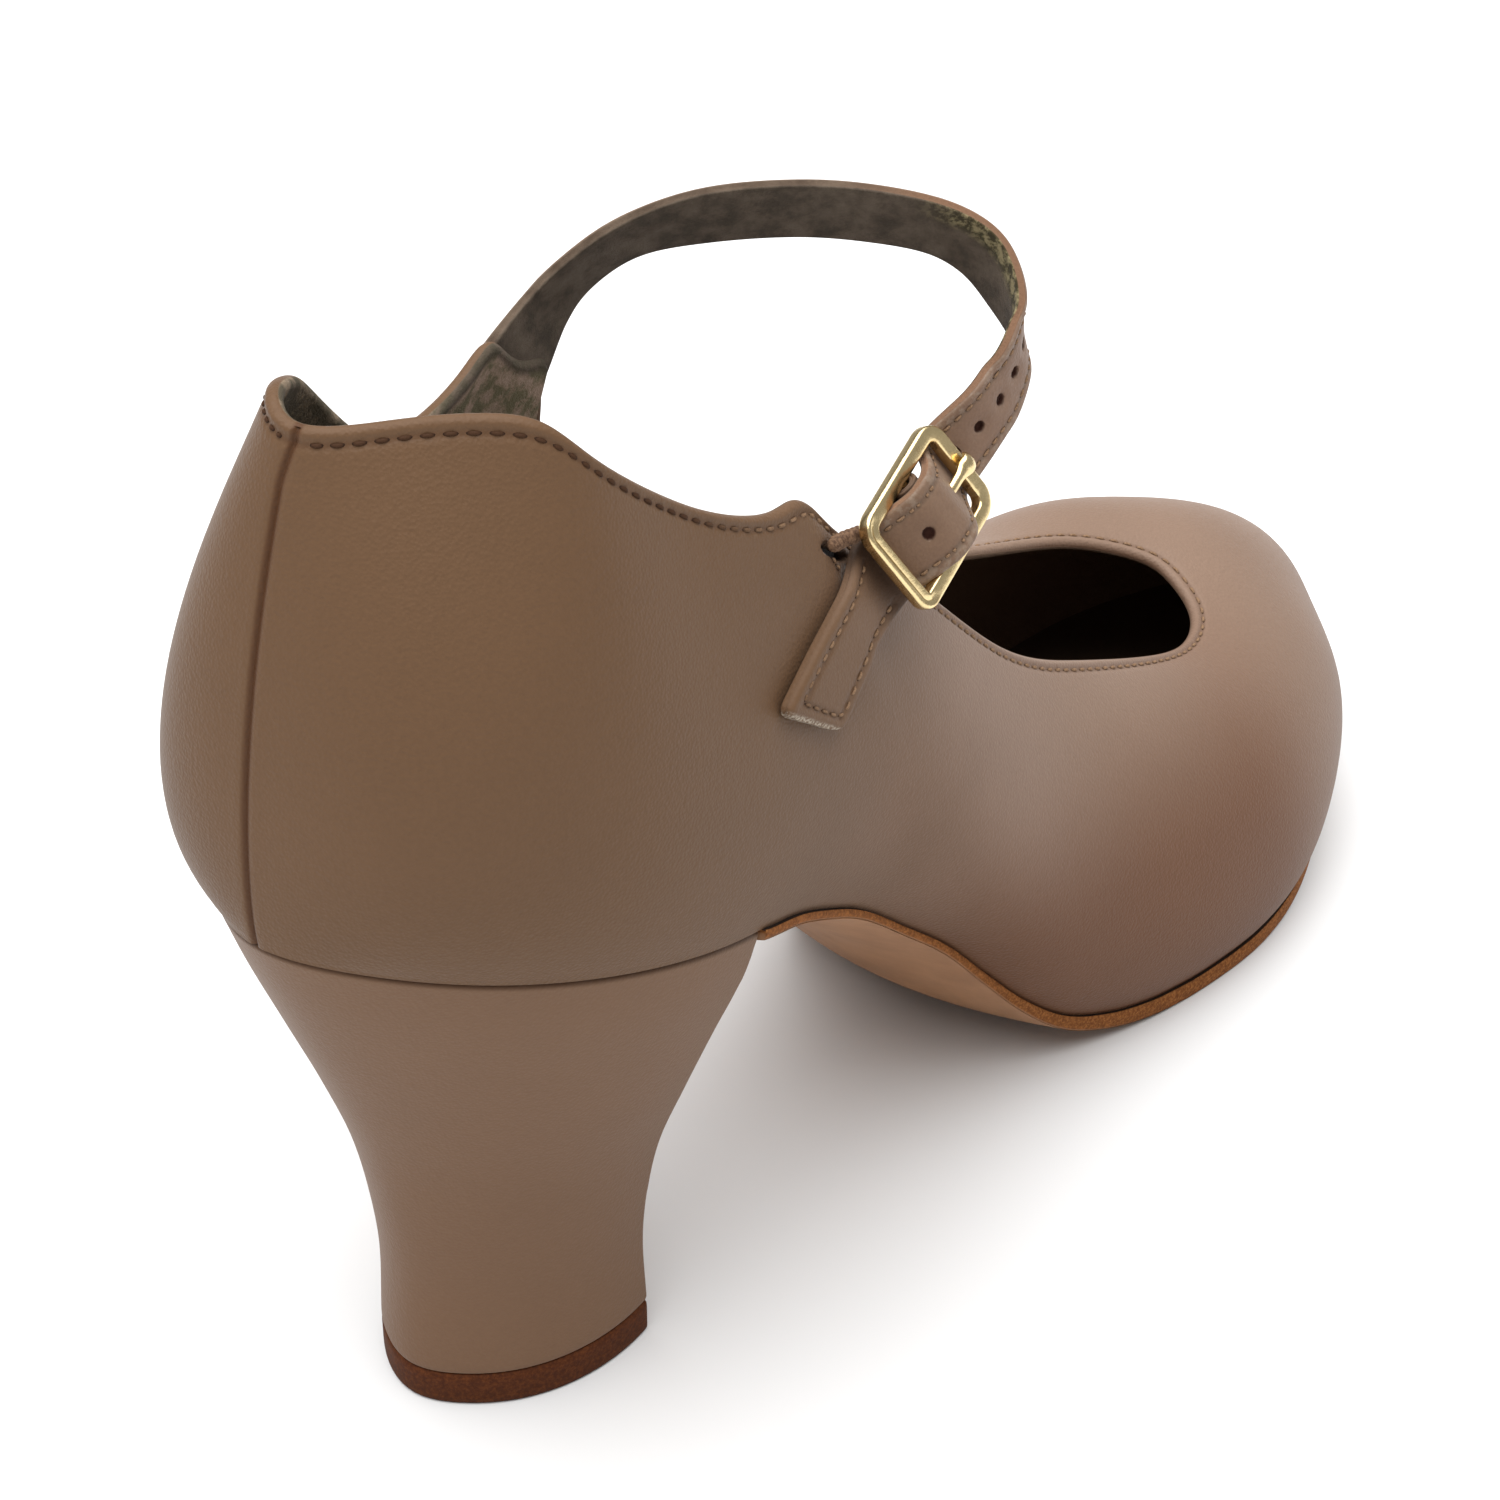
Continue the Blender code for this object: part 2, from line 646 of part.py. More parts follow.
def make_strap(where, cutters, finish):
    """The instep strap from the medial tab over to the buckle, under and over its bars."""
    rows = np.array(STRAP_PATH)
    centres = by_collar(rows[:, :3])
    ahead = centres[1] - centres[0]
    ahead /= np.linalg.norm(ahead)
    tab = topline(place(np.linspace(*TAB_STATIONS, 9)))
    centres[0] += (((tab - centres[0]) @ ahead).max() + 2 * GAP) * ahead
    across = buckle_axes()[1]
    reach = BUCKLE_LENGTH / 2
    under = -(BUCKLE_WIRE / 2 + GAP + STRAP / 2)
    over = EYE + GAP + STRAP / 2
    local = (
        (-reach - 1.5 * MM, 0, under - 0.2 * MM),
        (-reach + 1.2 * MM, 0, under + 0.2 * MM),
        (-2.3 * MM, 0, over - 0.6 * MM),
        (0, 0, over),
        (2.4 * MM, 0, over - 0.7 * MM),
        (reach - 1.2 * MM, 0, under + 0.3 * MM),
        (reach + 0.8 * MM, 0, under - 0.1 * MM),
    )
    centres = np.vstack([centres, from_buckle(local)])
    edges = np.vstack([rows[:, 3:], np.tile(across, (len(local), 1))])
    both = open_curve(np.hstack([centres, edges]), 84)
    centres, edges = both[:, :3], both[:, 3:]
    mesh, normals = band("strap", centres, edges, STRAP_WIDTH, STRAP)
    strap = keep("strap", mesh, finish, where)
    run = np.concatenate([[0], np.cumsum(np.linalg.norm(np.diff(centres, axis=0), axis=1))])
    for k, share in enumerate(STRAP_HOLES):
        spot = [np.interp(share * run[-1], run, centres[:, j]) for j in range(3)]
        normal = [np.interp(share * run[-1], run, normals[:, j]) for j in range(3)]
        spot, normal = np.array(spot), np.array(normal)
        name = f"strap_hole_{k + 1}"
        hole = rod(name, spot - 2 * STRAP * normal, spot + 2 * STRAP * normal, STRAP_HOLE / 2, 12)
        combine(strap, cutter(name, hole, cutters), "DIFFERENCE")
    start, end = from_buckle(prong_ends())
    ahead = (end - start) / np.linalg.norm(end - start)
    hole = rod("prong_hole", start, end + 3 * MM * ahead, PRONG / 2 + GAP, 16)
    combine(strap, cutter("prong_hole", hole, cutters), "DIFFERENCE")


def prong_ends():
    """The prong's straight part, from above the centre bar to its tip on the far wire."""
    rest = BUCKLE_WIRE / 2 + GAP + PRONG / 2
    return np.array([(0, 0, BAR / 2 + GAP + PRONG / 2), (-BUCKLE_LENGTH / 2 - 1 * MM, 0, rest)])


def quarter_surface():
    """The upper's outer face as a tree for ray casts."""
    grid = upper_grid(rib_places(), 2 * ROWS)
    ribs, rows = grid.shape[:2]
    faces = []
    for k in range(ribs):
        after = (k + 1) % ribs
        for j in range(rows - 1):
            faces.append((k * rows + j, after * rows + j, after * rows + j + 1, k * rows + j + 1))
    return BVHTree.FromPolygons([Vector(p) for p in grid.reshape(-1, 3)], faces)


def make_carrier(where, cutters, finish):
    """The leather strip on the lateral quarter that holds the buckle by its centre bar."""
    tree = quarter_surface()
    along, across, out = buckle_axes()
    root = CARRIER / 2 - EYE + GAP / 3
    centres = list(
        from_buckle(
            (
                (0.044 * CARRIER_LIFT, 0, root),
                (0.222 * CARRIER_LIFT, 0, root - 0.35 * EYE),
                (0.407 * CARRIER_LIFT, 0, root - 0.97 * EYE),
                (0.607 * CARRIER_LIFT, 0, root - 1.43 * EYE),
            )
        )
    )
    edges = [across] * 3 + [across + 0.06 * out]
    for a in np.linspace(CARRIER_LIFT, CARRIER_LENGTH, 6):
        drift = CARRIER_DRIFT * (a - CARRIER_LIFT) / (CARRIER_LENGTH - CARRIER_LIFT)
        hits = []
        for b in (-0.46 * CARRIER_WIDTH, 0.46 * CARRIER_WIDTH):
            start = from_buckle([(a, b + drift, 3 * CARRIER_WIDTH)])[0]
            hits.append(np.array(tree.ray_cast(Vector(start), Vector(-out))[0]))
        edge = hits[1] - hits[0]
        normal = np.cross(edge, along)
        normal /= np.linalg.norm(normal)
        centres.append((hits[0] + hits[1]) / 2 + (GAP + 0.15 * MM + CARRIER / 2) * normal)
        edges.append(edge / np.linalg.norm(edge))
    both = open_curve(np.hstack([centres, np.array(edges)]), 26)
    mesh, _ = band("buckle_carrier", both[:, :3], both[:, 3:], CARRIER_WIDTH, CARRIER)
    carrier = keep("buckle_carrier", mesh, finish, where)
    half = CARRIER_WIDTH / 2 - GAP / 2
    eye = rod("carrier_eye", *from_buckle(((0, -half, 0), (0, half, 0))), EYE, 28)
    combine(carrier, cutter("carrier_eye", eye, cutters), "UNION")
    ends = from_buckle(((0, -2 * half, 0), (0, 2 * half, 0)))
    combine(carrier, cutter("carrier_bore", rod("carrier_bore", *ends, BAR / 2 + 0.2 * MM), cutters), "DIFFERENCE")
    slot = PRONG / 2 + 2 * GAP
    ends = from_buckle(((0, -slot, 0), (0, slot, 0)))
    gap = rod("prong_gap", *ends, EYE + GAP, 28)
    combine(carrier, cutter("prong_gap", gap, cutters), "DIFFERENCE")


def make_buckle(where, cutters, finish):
    """A rounded rectangle of wire with a bar across its middle."""
    reach, half, corner = BUCKLE_LENGTH / 2, BUCKLE_WIDTH / 2, BUCKLE_CORNER
    path = []
    for quarter, (a, b) in enumerate(((1, 1), (-1, 1), (-1, -1), (1, -1))):
        for k in range(7):
            turn = (quarter + k / 6) * math.pi / 2
            centre = (a * (reach - corner), b * (half - corner))
            path.append((centre[0] + corner * math.cos(turn), centre[1] + corner * math.sin(turn), 0))
    curve = bpy.data.curves.new("buckle_frame", "CURVE")
    curve.dimensions = "3D"
    curve.bevel_depth = BUCKLE_WIRE / 2
    curve.bevel_resolution = 2
    spline = curve.splines.new("POLY")
    points = from_buckle(path)
    spline.points.add(len(points) - 1)
    spline.points.foreach_set("co", np.column_stack([points, np.ones(len(points))]).ravel())
    spline.use_cyclic_u = True
    wire = bpy.data.objects.new("buckle_wire", curve)
    where.objects.link(wire)
    bpy.context.view_layer.update()
    mesh = bpy.data.meshes.new_from_object(wire.evaluated_get(bpy.context.evaluated_depsgraph_get()))
    bpy.data.objects.remove(wire, do_unlink=True)
    frame = keep("buckle_frame", mesh, finish, where)
    bar = rod("centre_bar", *from_buckle(((0, -half, 0), (0, half, 0))), BAR / 2, 16)
    combine(frame, cutter("centre_bar", bar, cutters), "UNION")


def make_prong(where, cutters, finish):
    """The prong: an eye round the centre bar and a pin resting on the far wire."""
    half = PRONG / 2 + GAP
    eye = rod("buckle_prong", *from_buckle(((0, -half, 0), (0, half, 0))), EYE, 28)
    prong = keep("buckle_prong", eye, finish, where)
    pin = rod("prong_pin", *from_buckle(prong_ends()), PRONG / 2, 12)
    combine(prong, cutter("prong_pin", pin, cutters), "UNION")
    ends = from_buckle(((0, -2 * half, 0), (0, 2 * half, 0)))
    combine(prong, cutter("prong_bore", rod("prong_bore", *ends, BAR / 2 + 0.2 * MM), cutters), "DIFFERENCE")


def main():
    for obj in list(bpy.data.objects):
        bpy.data.objects.remove(obj, do_unlink=True)
    parts = collection("character_shoe")
    cutters = collection("cutters")
    tan = material("tan leather", (0.20, 0.125, 0.085), 0.55)
    edge = material("brown sole leather", (0.12, 0.045, 0.018), 0.7)
    lining = material("lining leather", (0.25, 0.18, 0.13), 0.8)
    gold = material("gold plated brass", (0.75, 0.55, 0.25), 0.25, 1.0)
    make_upper(parts, tan)
    make_outsole(parts, edge)
    make_insole(parts, lining)
    make_heel(parts, tan, edge)
    make_strap(parts, cutters, tan)
    make_carrier(parts, cutters, tan)
    make_buckle(parts, cutters, gold)
    make_prong(parts, cutters, gold)
    to_origin = Matrix.Translation((-HEEL_TUCK - TOP_PIECE_LENGTH / 2, -HEEL_SWAY, 0))
    for obj in list(parts.objects) + list(cutters.objects):
        obj.data.transform(to_origin)


main()
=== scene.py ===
"""The character shoe with its leathers, lining, stitching and gilt buckle, in the photo's view."""

import math

import bmesh
import bpy
import numpy as np
from mathutils import Matrix, Vector
from mathutils.bvhtree import BVHTree


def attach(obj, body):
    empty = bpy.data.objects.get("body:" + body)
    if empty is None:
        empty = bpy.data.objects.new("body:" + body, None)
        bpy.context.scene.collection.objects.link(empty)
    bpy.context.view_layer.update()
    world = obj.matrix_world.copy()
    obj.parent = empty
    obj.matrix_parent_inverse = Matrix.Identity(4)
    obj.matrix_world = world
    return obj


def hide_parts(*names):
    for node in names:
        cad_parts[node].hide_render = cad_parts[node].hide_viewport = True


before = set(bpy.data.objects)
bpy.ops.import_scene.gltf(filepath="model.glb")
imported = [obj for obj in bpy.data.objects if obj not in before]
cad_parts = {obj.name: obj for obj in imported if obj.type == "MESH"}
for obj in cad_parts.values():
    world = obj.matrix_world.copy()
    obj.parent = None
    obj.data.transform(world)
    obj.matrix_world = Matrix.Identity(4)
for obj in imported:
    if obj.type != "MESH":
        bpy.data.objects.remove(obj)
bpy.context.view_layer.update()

# The insole: a thin board with a dark leather sock, cut to the last's bottom.
# It lies inside the lasted upper, down the seat, over the arch and flat to the toe.

MM = 0.001
ORIGIN = np.array((31.0, 1.0, 0.0)) * MM  # middle of the top piece, from the back of the seat
LENGTH = 233 * MM
HEEL_HEIGHT = 77 * MM
SEAT_LENGTH = 51.5 * MM
SEAT_WIDTH = 53 * MM
SEAT_PITCH = 0.28
BALL_WIDTH = 72 * MM
TOE_SPRING = 13 * MM
FLAT_START = 146 * MM
FLAT_END = 160 * MM
GAP = 0.3 * MM
SOLE = 3 * MM
WAIST_SOLE = 1.4 * MM
UPPER_WALL = 1.8 * MM
INSOLE = 2 * MM
FOREPART = LENGTH - SEAT_LENGTH
BREAST_TOP = HEEL_HEIGHT - SEAT_PITCH * SEAT_LENGTH
SHARP_ANGLE = math.radians(50)

# Along is a share of breast to flat spot, height a share of the sole's height at the breast.
ARCH = (
    # along, height
    (0.00, 1.000),
    (0.10, 0.935),
    (0.20, 0.845),
    (0.30, 0.745),
    (0.40, 0.617),
    (0.50, 0.480),
    (0.58, 0.340),
    (0.65, 0.220),
    (0.73, 0.112),
    (0.82, 0.046),
    (0.91, 0.012),
    (1.00, 0.000),
)

# Along is a share of the seat's length, out of half of its width.
SEAT = (
    # along, lateral out, medial out
    (0.09, 0.390, 0.470),
    (0.29, 0.745, 0.820),
    (0.62, 0.980, 1.020),
    (1.00, 0.980, 1.000),
)

# Along is a share of the forepart's length, out of half of the ball's width.
FOREPART_OUTLINE = (
    # lateral along, lateral out, medial along, medial out
    (0.138, 0.555, 0.130, 0.580),
    (0.268, 0.550, 0.259, 0.580),
    (0.401, 0.700, 0.383, 0.740),
    (0.534, 0.840, 0.507, 0.960),
    (0.663, 0.850, 0.625, 1.080),
    (0.774, 0.670, 0.741, 1.110),
    (0.868, 0.394, 0.848, 1.010),
    (0.945, 0.030, 0.938, 0.760),
)
TOE_TIP = (0.996, 0.350)


def unit(vectors):
    """The vectors brought to length 1."""
    return vectors / np.linalg.norm(vectors, axis=-1, keepdims=True)


def run_along(points):
    """Distances along a polyline, from 0 at its first point."""
    return np.concatenate([[0], np.cumsum(np.linalg.norm(np.diff(points, axis=0), axis=1))])


def read_along(points, run, at):
    """A polyline's values at distances along it."""
    return np.stack([np.interp(at, run, column) for column in points.T], axis=1)


def cubic(start, end, leave, arrive, t):
    """The cubic from start to end that leaves and arrives with these slopes."""
    bend = leave * t * (1 - t) ** 2 - arrive * t * t * (1 - t)
    return start + (end - start) * t * t * (3 - 2 * t) + bend


def steady(table, at):
    """Reads a table of (place, value) rows with a smooth curve that never overshoots."""
    places, values = np.array(table, float).T
    step = np.diff(places)
    slope = np.diff(values) / step
    bend = (slope[:-1] * step[1:] + slope[1:] * step[:-1]) / (step[:-1] + step[1:])
    most = np.minimum(np.minimum(abs(slope[:-1]), abs(slope[1:])), abs(bend) / 2)
    inner = (np.sign(slope[:-1]) + np.sign(slope[1:])) * most
    lean = np.concatenate([slope[:1], inner, slope[-1:]])
    at = np.clip(np.asarray(at, float), places[0], places[-1])
    k = np.clip(np.searchsorted(places, at, side="right") - 1, 0, len(step) - 1)
    t = (at - places[k]) / step[k]
    return cubic(values[k], values[k + 1], lean[k] * step[k], lean[k + 1] * step[k], t)


def ring(places, rows, period, at):
    """A closed cubic spline through rows of values, read at the given places."""
    rows = np.asarray(rows, float)
    count = len(places)
    step = np.diff(np.append(places, places[0] + period))
    slope = (np.roll(rows, -1, axis=0) - rows) / step[:, None]
    system = np.zeros((count, count))
    aim = np.zeros_like(rows)
    for k in range(count):
        system[k, k - 1] = step[k]
        system[k, k] = 2 * (step[k - 1] + step[k])
        system[k, (k + 1) % count] = step[k - 1]
        aim[k] = 3 * (step[k] * slope[k - 1] + step[k - 1] * slope[k])
    lean = np.linalg.solve(system, aim)
    at = (np.asarray(at, float) - places[0]) % period + places[0]
    k = np.searchsorted(places, at, side="right") - 1
    after = (k + 1) % count
    t = ((at - np.asarray(places)[k]) / step[k])[:, None]
    leave, arrive = (lean[j] * step[k][:, None] for j in (k, after))
    return cubic(rows[k], rows[after], leave, arrive, t)


def ease(x, start, end):
    """0 before start, 1 after end and smooth between."""
    t = np.clip((np.asarray(x, float) - start) / (end - start), 0, 1)
    return t * t * (3 - 2 * t)


def bump(x, middle, reach):
    """A soft swelling, 1 at the middle and gone a little beyond its reach."""
    return np.exp(-(((np.asarray(x, float) - middle) / reach) ** 2))


def underside(x):
    """Height of the outsole's lower edge ahead of the breast."""
    x = np.asarray(x, float)
    along = (x - SEAT_LENGTH) / (FLAT_START - SEAT_LENGTH)
    climb = steady(ARCH, along) * (BREAST_TOP - WAIST_SOLE)
    beyond = np.clip((x - FLAT_END) / (LENGTH - FLAT_END), 0, None)
    return climb + TOE_SPRING * beyond**1.5


def bed(x):
    """Height of the seat and of the outsole's upper face, which the upper and insole stand on."""
    x = np.asarray(x, float)
    sole = WAIST_SOLE + (SOLE - WAIST_SOLE) * ease(x, SEAT_LENGTH + 0.2 * FOREPART, FLAT_START)
    return np.where(x < SEAT_LENGTH, HEEL_HEIGHT - SEAT_PITCH * x, underside(x) + sole)


seat_half, ball_half = SEAT_WIDTH / 2, BALL_WIDTH / 2
lateral_rows = [(along * SEAT_LENGTH, -out * seat_half) for along, out, _ in SEAT]
medial_rows = [(along * SEAT_LENGTH, out * seat_half) for along, _, out in SEAT]
for lateral_along, lateral_out, medial_along, medial_out in FOREPART_OUTLINE:
    lateral_rows.append((SEAT_LENGTH + lateral_along * FOREPART, -lateral_out * ball_half))
    medial_rows.append((SEAT_LENGTH + medial_along * FOREPART, medial_out * ball_half))
tip_row = (SEAT_LENGTH + TOE_TIP[0] * FOREPART, TOE_TIP[1] * ball_half)
FEATHER = np.array([(0, 0)] + lateral_rows + [tip_row] + medial_rows[::-1])
STEPS = np.linalg.norm(np.roll(FEATHER, -1, axis=0) - FEATHER, axis=1)
STATION_AT = np.concatenate([[0], np.cumsum(STEPS)[:-1]])
GIRTH = STEPS.sum()


def feather(at):
    """Points of the upper's lower edge in plan, at distances round the shoe."""
    return ring(STATION_AT, FEATHER, GIRTH, at)


def place(stations):
    """Distances round the shoe of the given stations."""
    return np.interp(stations, np.arange(len(FEATHER) + 1), np.append(STATION_AT, GIRTH))


def outline_in(distance, count):
    """The bottom's outline in plan, counterclockwise from above and moved inwards."""
    points = feather(np.linspace(0, GIRTH, count, endpoint=False))
    ahead = unit(np.roll(points, -1, axis=0) - np.roll(points, 1, axis=0))
    return points + distance * np.stack([-ahead[:, 1], ahead[:, 0]], axis=1)


def rim_sides(rim, x):
    """The rim's lateral and medial edge at places along the shoe."""
    tip = rim[:, 0].argmax()
    lateral, medial = rim[: tip + 1], rim[tip:][::-1]
    return np.interp(x, *lateral.T), np.interp(x, *medial.T)


def to_spine(rim, reach):
    """For each rim point, the point of the sole's middle line that it is spun towards."""
    first, last = rim[:, 0].min() + reach, rim[:, 0].max() - reach
    x = np.clip(rim[:, 0], first, last)
    x = x + 0.25 * (rim[:, 0] - x)
    left, right = rim_sides(rim, x)
    return np.column_stack([x, (left + right) / 2])


def across_share(plan, rim):
    """How far across the sole plan points lie, 0 at the lateral edge and 1 at the medial one."""
    left, right = rim_sides(rim, plan[..., 0])
    return np.clip((plan[..., 1] - left) / np.maximum(right - left, MM), 0, 1)


class Tone:
    """A socket in a finish's nodes. Sums, differences and products of tones add Math nodes."""

    def __init__(self, tree, socket=None):
        self.tree, self.socket = tree, socket

    def node(self, kind, settings, sockets, out=0):
        """Adds one shader node, with its settings and the values or links of its sockets."""
        made = self.tree.nodes.new("ShaderNode" + kind)
        for name, value in settings.items():
            setattr(made, name, value)
        for name, value in sockets.items():
            if isinstance(value, Tone):
                self.tree.links.new(value.socket, made.inputs[name])
            else:
                made.inputs[name].default_value = value
        return Tone(self.tree, made.outputs[out])

    def maths(self, operation, first, second=0.0):
        return self.node("Math", {"operation": operation}, {0: first, 1: second})

    def __add__(self, other):
        return self.maths("ADD", self, other)

    __radd__ = __add__

    def __sub__(self, other):
        return self.maths("SUBTRACT", self, other)

    def __rsub__(self, other):
        return self.maths("SUBTRACT", other, self)

    def __mul__(self, other):
        return self.maths("MULTIPLY", self, other)

    def __abs__(self):
        return self.maths("ABSOLUTE", self)

    def axis(self, which):
        """One part of this vector: 0 is along the shoe, 1 out and 2 up."""
        return self.node("SeparateXYZ", {}, {"Vector": self}, out=which)

    def rises(self, low, high):
        """0 below low, 1 above high and smooth between; low may be the greater one."""
        return self.node(
            "MapRange",
            {"interpolation_type": "SMOOTHSTEP"},
            {"Value": self, "From Min": low, "From Max": high},
        )

    def mixed(self, share, other):
        """This colour with a share of another one."""
        return self.node("Mix", {"data_type": "RGBA"}, {0: share, 6: self, 7: other}, out=2)

    def times(self, value):
        """This colour or vector made brighter or longer by a plain value."""
        return self.node("VectorMath", {"operation": "SCALE"}, {0: self, "Scale": value})

    def noise(self, size, detail=2.0, roughness=0.5):
        """Soft noise with features of about this size, in metres."""
        sockets = {"Vector": self, "Scale": 1 / size, "Detail": detail, "Roughness": roughness}
        return self.node("TexNoise", {}, sockets)

    def cells(self, size):
        """Distance from the middle of small cells of about this size."""
        return self.node("TexVoronoi", {}, {"Vector": self, "Scale": 1 / size})


def finish(name, paint, constants):
    """A material. paint takes its object coordinates and gives the links of its shader."""
    made = bpy.data.materials.new(name)
    made.use_nodes = True
    tree = made.node_tree
    shader = tree.nodes["Principled BSDF"]
    for socket, value in constants.items():
        shader.inputs[socket].default_value = value
    start = Tone(tree)
    where = start.node("TexCoord", {}, {}, out="Object")
    for socket, tone in paint(where).items():
        tree.links.new(tone.socket, shader.inputs[socket])
    return made


def colour(where, value):
    """A plain colour that others are mixed into."""
    return where.node("Mix", {"data_type": "RGBA"}, {0: 0.0, 6: (*value, 1), 7: (*value, 1)}, out=2)


def blend(first, share, second):
    """The first colour with a share of the second one."""
    sockets = {0: share, 6: (*first, 1), 7: (*second, 1)}
    return share.node("Mix", {"data_type": "RGBA"}, sockets, out=2)


def mark(where, name):
    """A value that the mesh holds at its points."""
    return where.node("Attribute", {"attribute_name": name}, {}, out=2)


def dent(where, height, depth, strength=1.0):
    """Turns a height between 0 and 1 into small relief of this depth, in metres."""
    return where.node("Bump", {}, {"Height": height, "Distance": depth, "Strength": strength})


def look(tone, rough, normal):
    """What a paint gives to its shader."""
    return {"Base Color": tone, "Roughness": rough, "Normal": normal}


def show(name, data):
    """A new object in the scene."""
    made = bpy.data.objects.new(name, data)
    bpy.context.scene.collection.objects.link(made)
    return made


def add_piece(name, points, faces, marks, material):
    """A smooth piece on the root body, with the values that its finish reads at its points."""
    mesh = bpy.data.meshes.new(name)
    mesh.from_pydata((np.asarray(points) - ORIGIN).tolist(), [], faces)
    for label, values in marks.items():
        mesh.attributes.new(label, "FLOAT", "POINT").data.foreach_set("value", values)
    bm = bmesh.new()
    bm.from_mesh(mesh)
    bmesh.ops.recalc_face_normals(bm, faces=bm.faces)
    bm.to_mesh(mesh)
    bm.free()
    mesh.shade_smooth()
    mesh.materials.append(material)
    piece = show(name, mesh)
    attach(piece, "root")
    return piece


def grid_faces(ribs, rows, around=False, through=False):
    """The faces of a grid of points [rib, row], closed round its ribs or through its rows."""
    index = np.arange(ribs * rows).reshape(ribs, rows)
    index = np.vstack([index, index[:1]]) if around else index
    index = np.hstack([index, index[:, :1]]) if through else index
    corners = (index[:-1, :-1], index[1:, :-1], index[1:, 1:], index[:-1, 1:])
    return np.stack(corners, axis=-1).reshape(-1, 4).tolist()


def skin(name, points, marks, material, around=False, through=False, caps=False):
    """A smooth piece on a grid of points, with caps on its first and last rib."""
    ribs, rows = points.shape[:2]
    faces = grid_faces(ribs, rows, around, through)
    if caps:
        faces += [list(range(rows))[::-1], list(range((ribs - 1) * rows, ribs * rows))]
    held = {}
    for label, values in marks.items():
        held[label] = np.broadcast_to(values, (ribs, rows)).astype(float).ravel()
    piece = add_piece(name, points.reshape(-1, 3), faces, held, material)
    piece.data.set_sharp_from_angle(angle=SHARP_ANGLE)
    return piece


def sock_paint(where):
    shade = where.noise(14 * MM, 3)
    fine = where.noise(0.5 * MM, 3)
    tone = blend((0.075, 0.048, 0.032), shade * 0.5, (0.13, 0.088, 0.060))
    normal = dent(where, fine, 0.06 * MM, 0.5)
    return look(tone.times(0.85 + fine * 0.3), 0.75 + fine * 0.15, normal)


sock = finish("dark sock leather", sock_paint, {"Specular IOR Level": 0.2})
low_rim = outline_in(UPPER_WALL + 0.1 * MM, 360)
top_rim = outline_in(UPPER_WALL - 0.6 * MM, 360)  # the wall leans out above the board
spine = to_spine(low_rim, 24 * MM)
inwards = np.array([0, 0.012, 0.03, 0.06, 0.1, 0.16, 0.24, 0.34, 0.46, 0.6, 0.74, 0.88, 1.0])
board = []
for rim, rise in ((low_rim, 0.0), (top_rim, INSOLE)):
    plan = rim[:, None] + (spine - rim)[:, None] * inwards[None, :, None]
    board.append(np.dstack([plan, bed(plan[..., 0]) + GAP + rise]))
board = np.concatenate([board[0][:, ::-1], board[1]], axis=1)
insole = skin("insole_sock", board, {}, sock, around=True)
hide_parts("insole")

# The upper: vamp and two quarters of smooth tan leather, backed with a thin suede lining.
# It is pulled over the last, closed by a seam down the back and folded in along the topline.

QUARTER_HEIGHT = 57 * MM
TOPLINE_WIDTH = 46 * MM
VAMP_HEIGHT = 47 * MM
THROAT_END = 181 * MM
FULLNESS = 10 * MM

# Station is the number of the rib below, from the centre back over the lateral side. Along is
# a share of THROAT_END, out of half of TOPLINE_WIDTH, and height of throat to top of the quarter.
TOPLINE = (
    # station, along, out, height
    (0.00, 0.060, -0.01, 1.000),
    (1.00, 0.088, -0.33, 1.008),
    (2.00, 0.125, -0.60, 1.009),
    (2.50, 0.149, -0.78, 0.993),
    (3.00, 0.176, -0.90, 0.937),
    (3.60, 0.231, -0.92, 0.845),
    (4.20, 0.276, -0.94, 0.785),
    (4.80, 0.334, -0.93, 0.738),
    (5.20, 0.361, -0.91, 0.728),
    (5.60, 0.391, -0.89, 0.667),
    (6.20, 0.479, -0.84, 0.511),
    (7.00, 0.612, -0.73, 0.270),
    (8.00, 0.733, -0.68, 0.121),
    (9.00, 0.838, -0.63, 0.023),
    (10.00, 0.920, -0.54, -0.040),
    (11.00, 0.976, -0.35, -0.052),
    (12.00, 0.998, -0.10, -0.034),
    (13.00, 1.002, 0.11, -0.017),
    (14.00, 0.983, 0.33, 0.006),
    (15.00, 0.954, 0.49, 0.029),
    (16.00, 0.909, 0.59, 0.057),
    (17.00, 0.835, 0.67, 0.103),
    (18.00, 0.746, 0.80, 0.161),
    (19.00, 0.644, 0.93, 0.241),
    (20.00, 0.561, 0.99, 0.333),
    (20.60, 0.497, 1.00, 0.410),
    (21.00, 0.437, 1.00, 0.490),
    (21.30, 0.387, 0.99, 0.590),
    (21.50, 0.390, 0.965, 0.736),
    (21.78, 0.362, 0.945, 0.784),
    (22.05, 0.334, 0.925, 0.832),
    (22.30, 0.309, 0.89, 0.820),
    (22.60, 0.274, 0.84, 0.800),
    (23.00, 0.225, 0.72, 0.806),
    (23.50, 0.179, 0.60, 0.848),
    (24.00, 0.134, 0.55, 0.950),
    (24.50, 0.106, 0.44, 0.995),
    (25.00, 0.079, 0.30, 1.015),
)
TAB = (21.50, 22.05)  # stations of the medial tab that the strap runs on from
TOPLINE_ROW = 1.9 * MM  # the stitches' depth below the topline
SEAM_SHIFT = 1.25 * MM  # how far the back seam stands to the medial side below the top
SLIT = np.array((70.0, -21.9, 102.2)) * MM  # the buttonhole behind the buckle
SLIT_WAY = np.array((0.80, 0.16, -0.58))
SLIT_STATION = 5.7

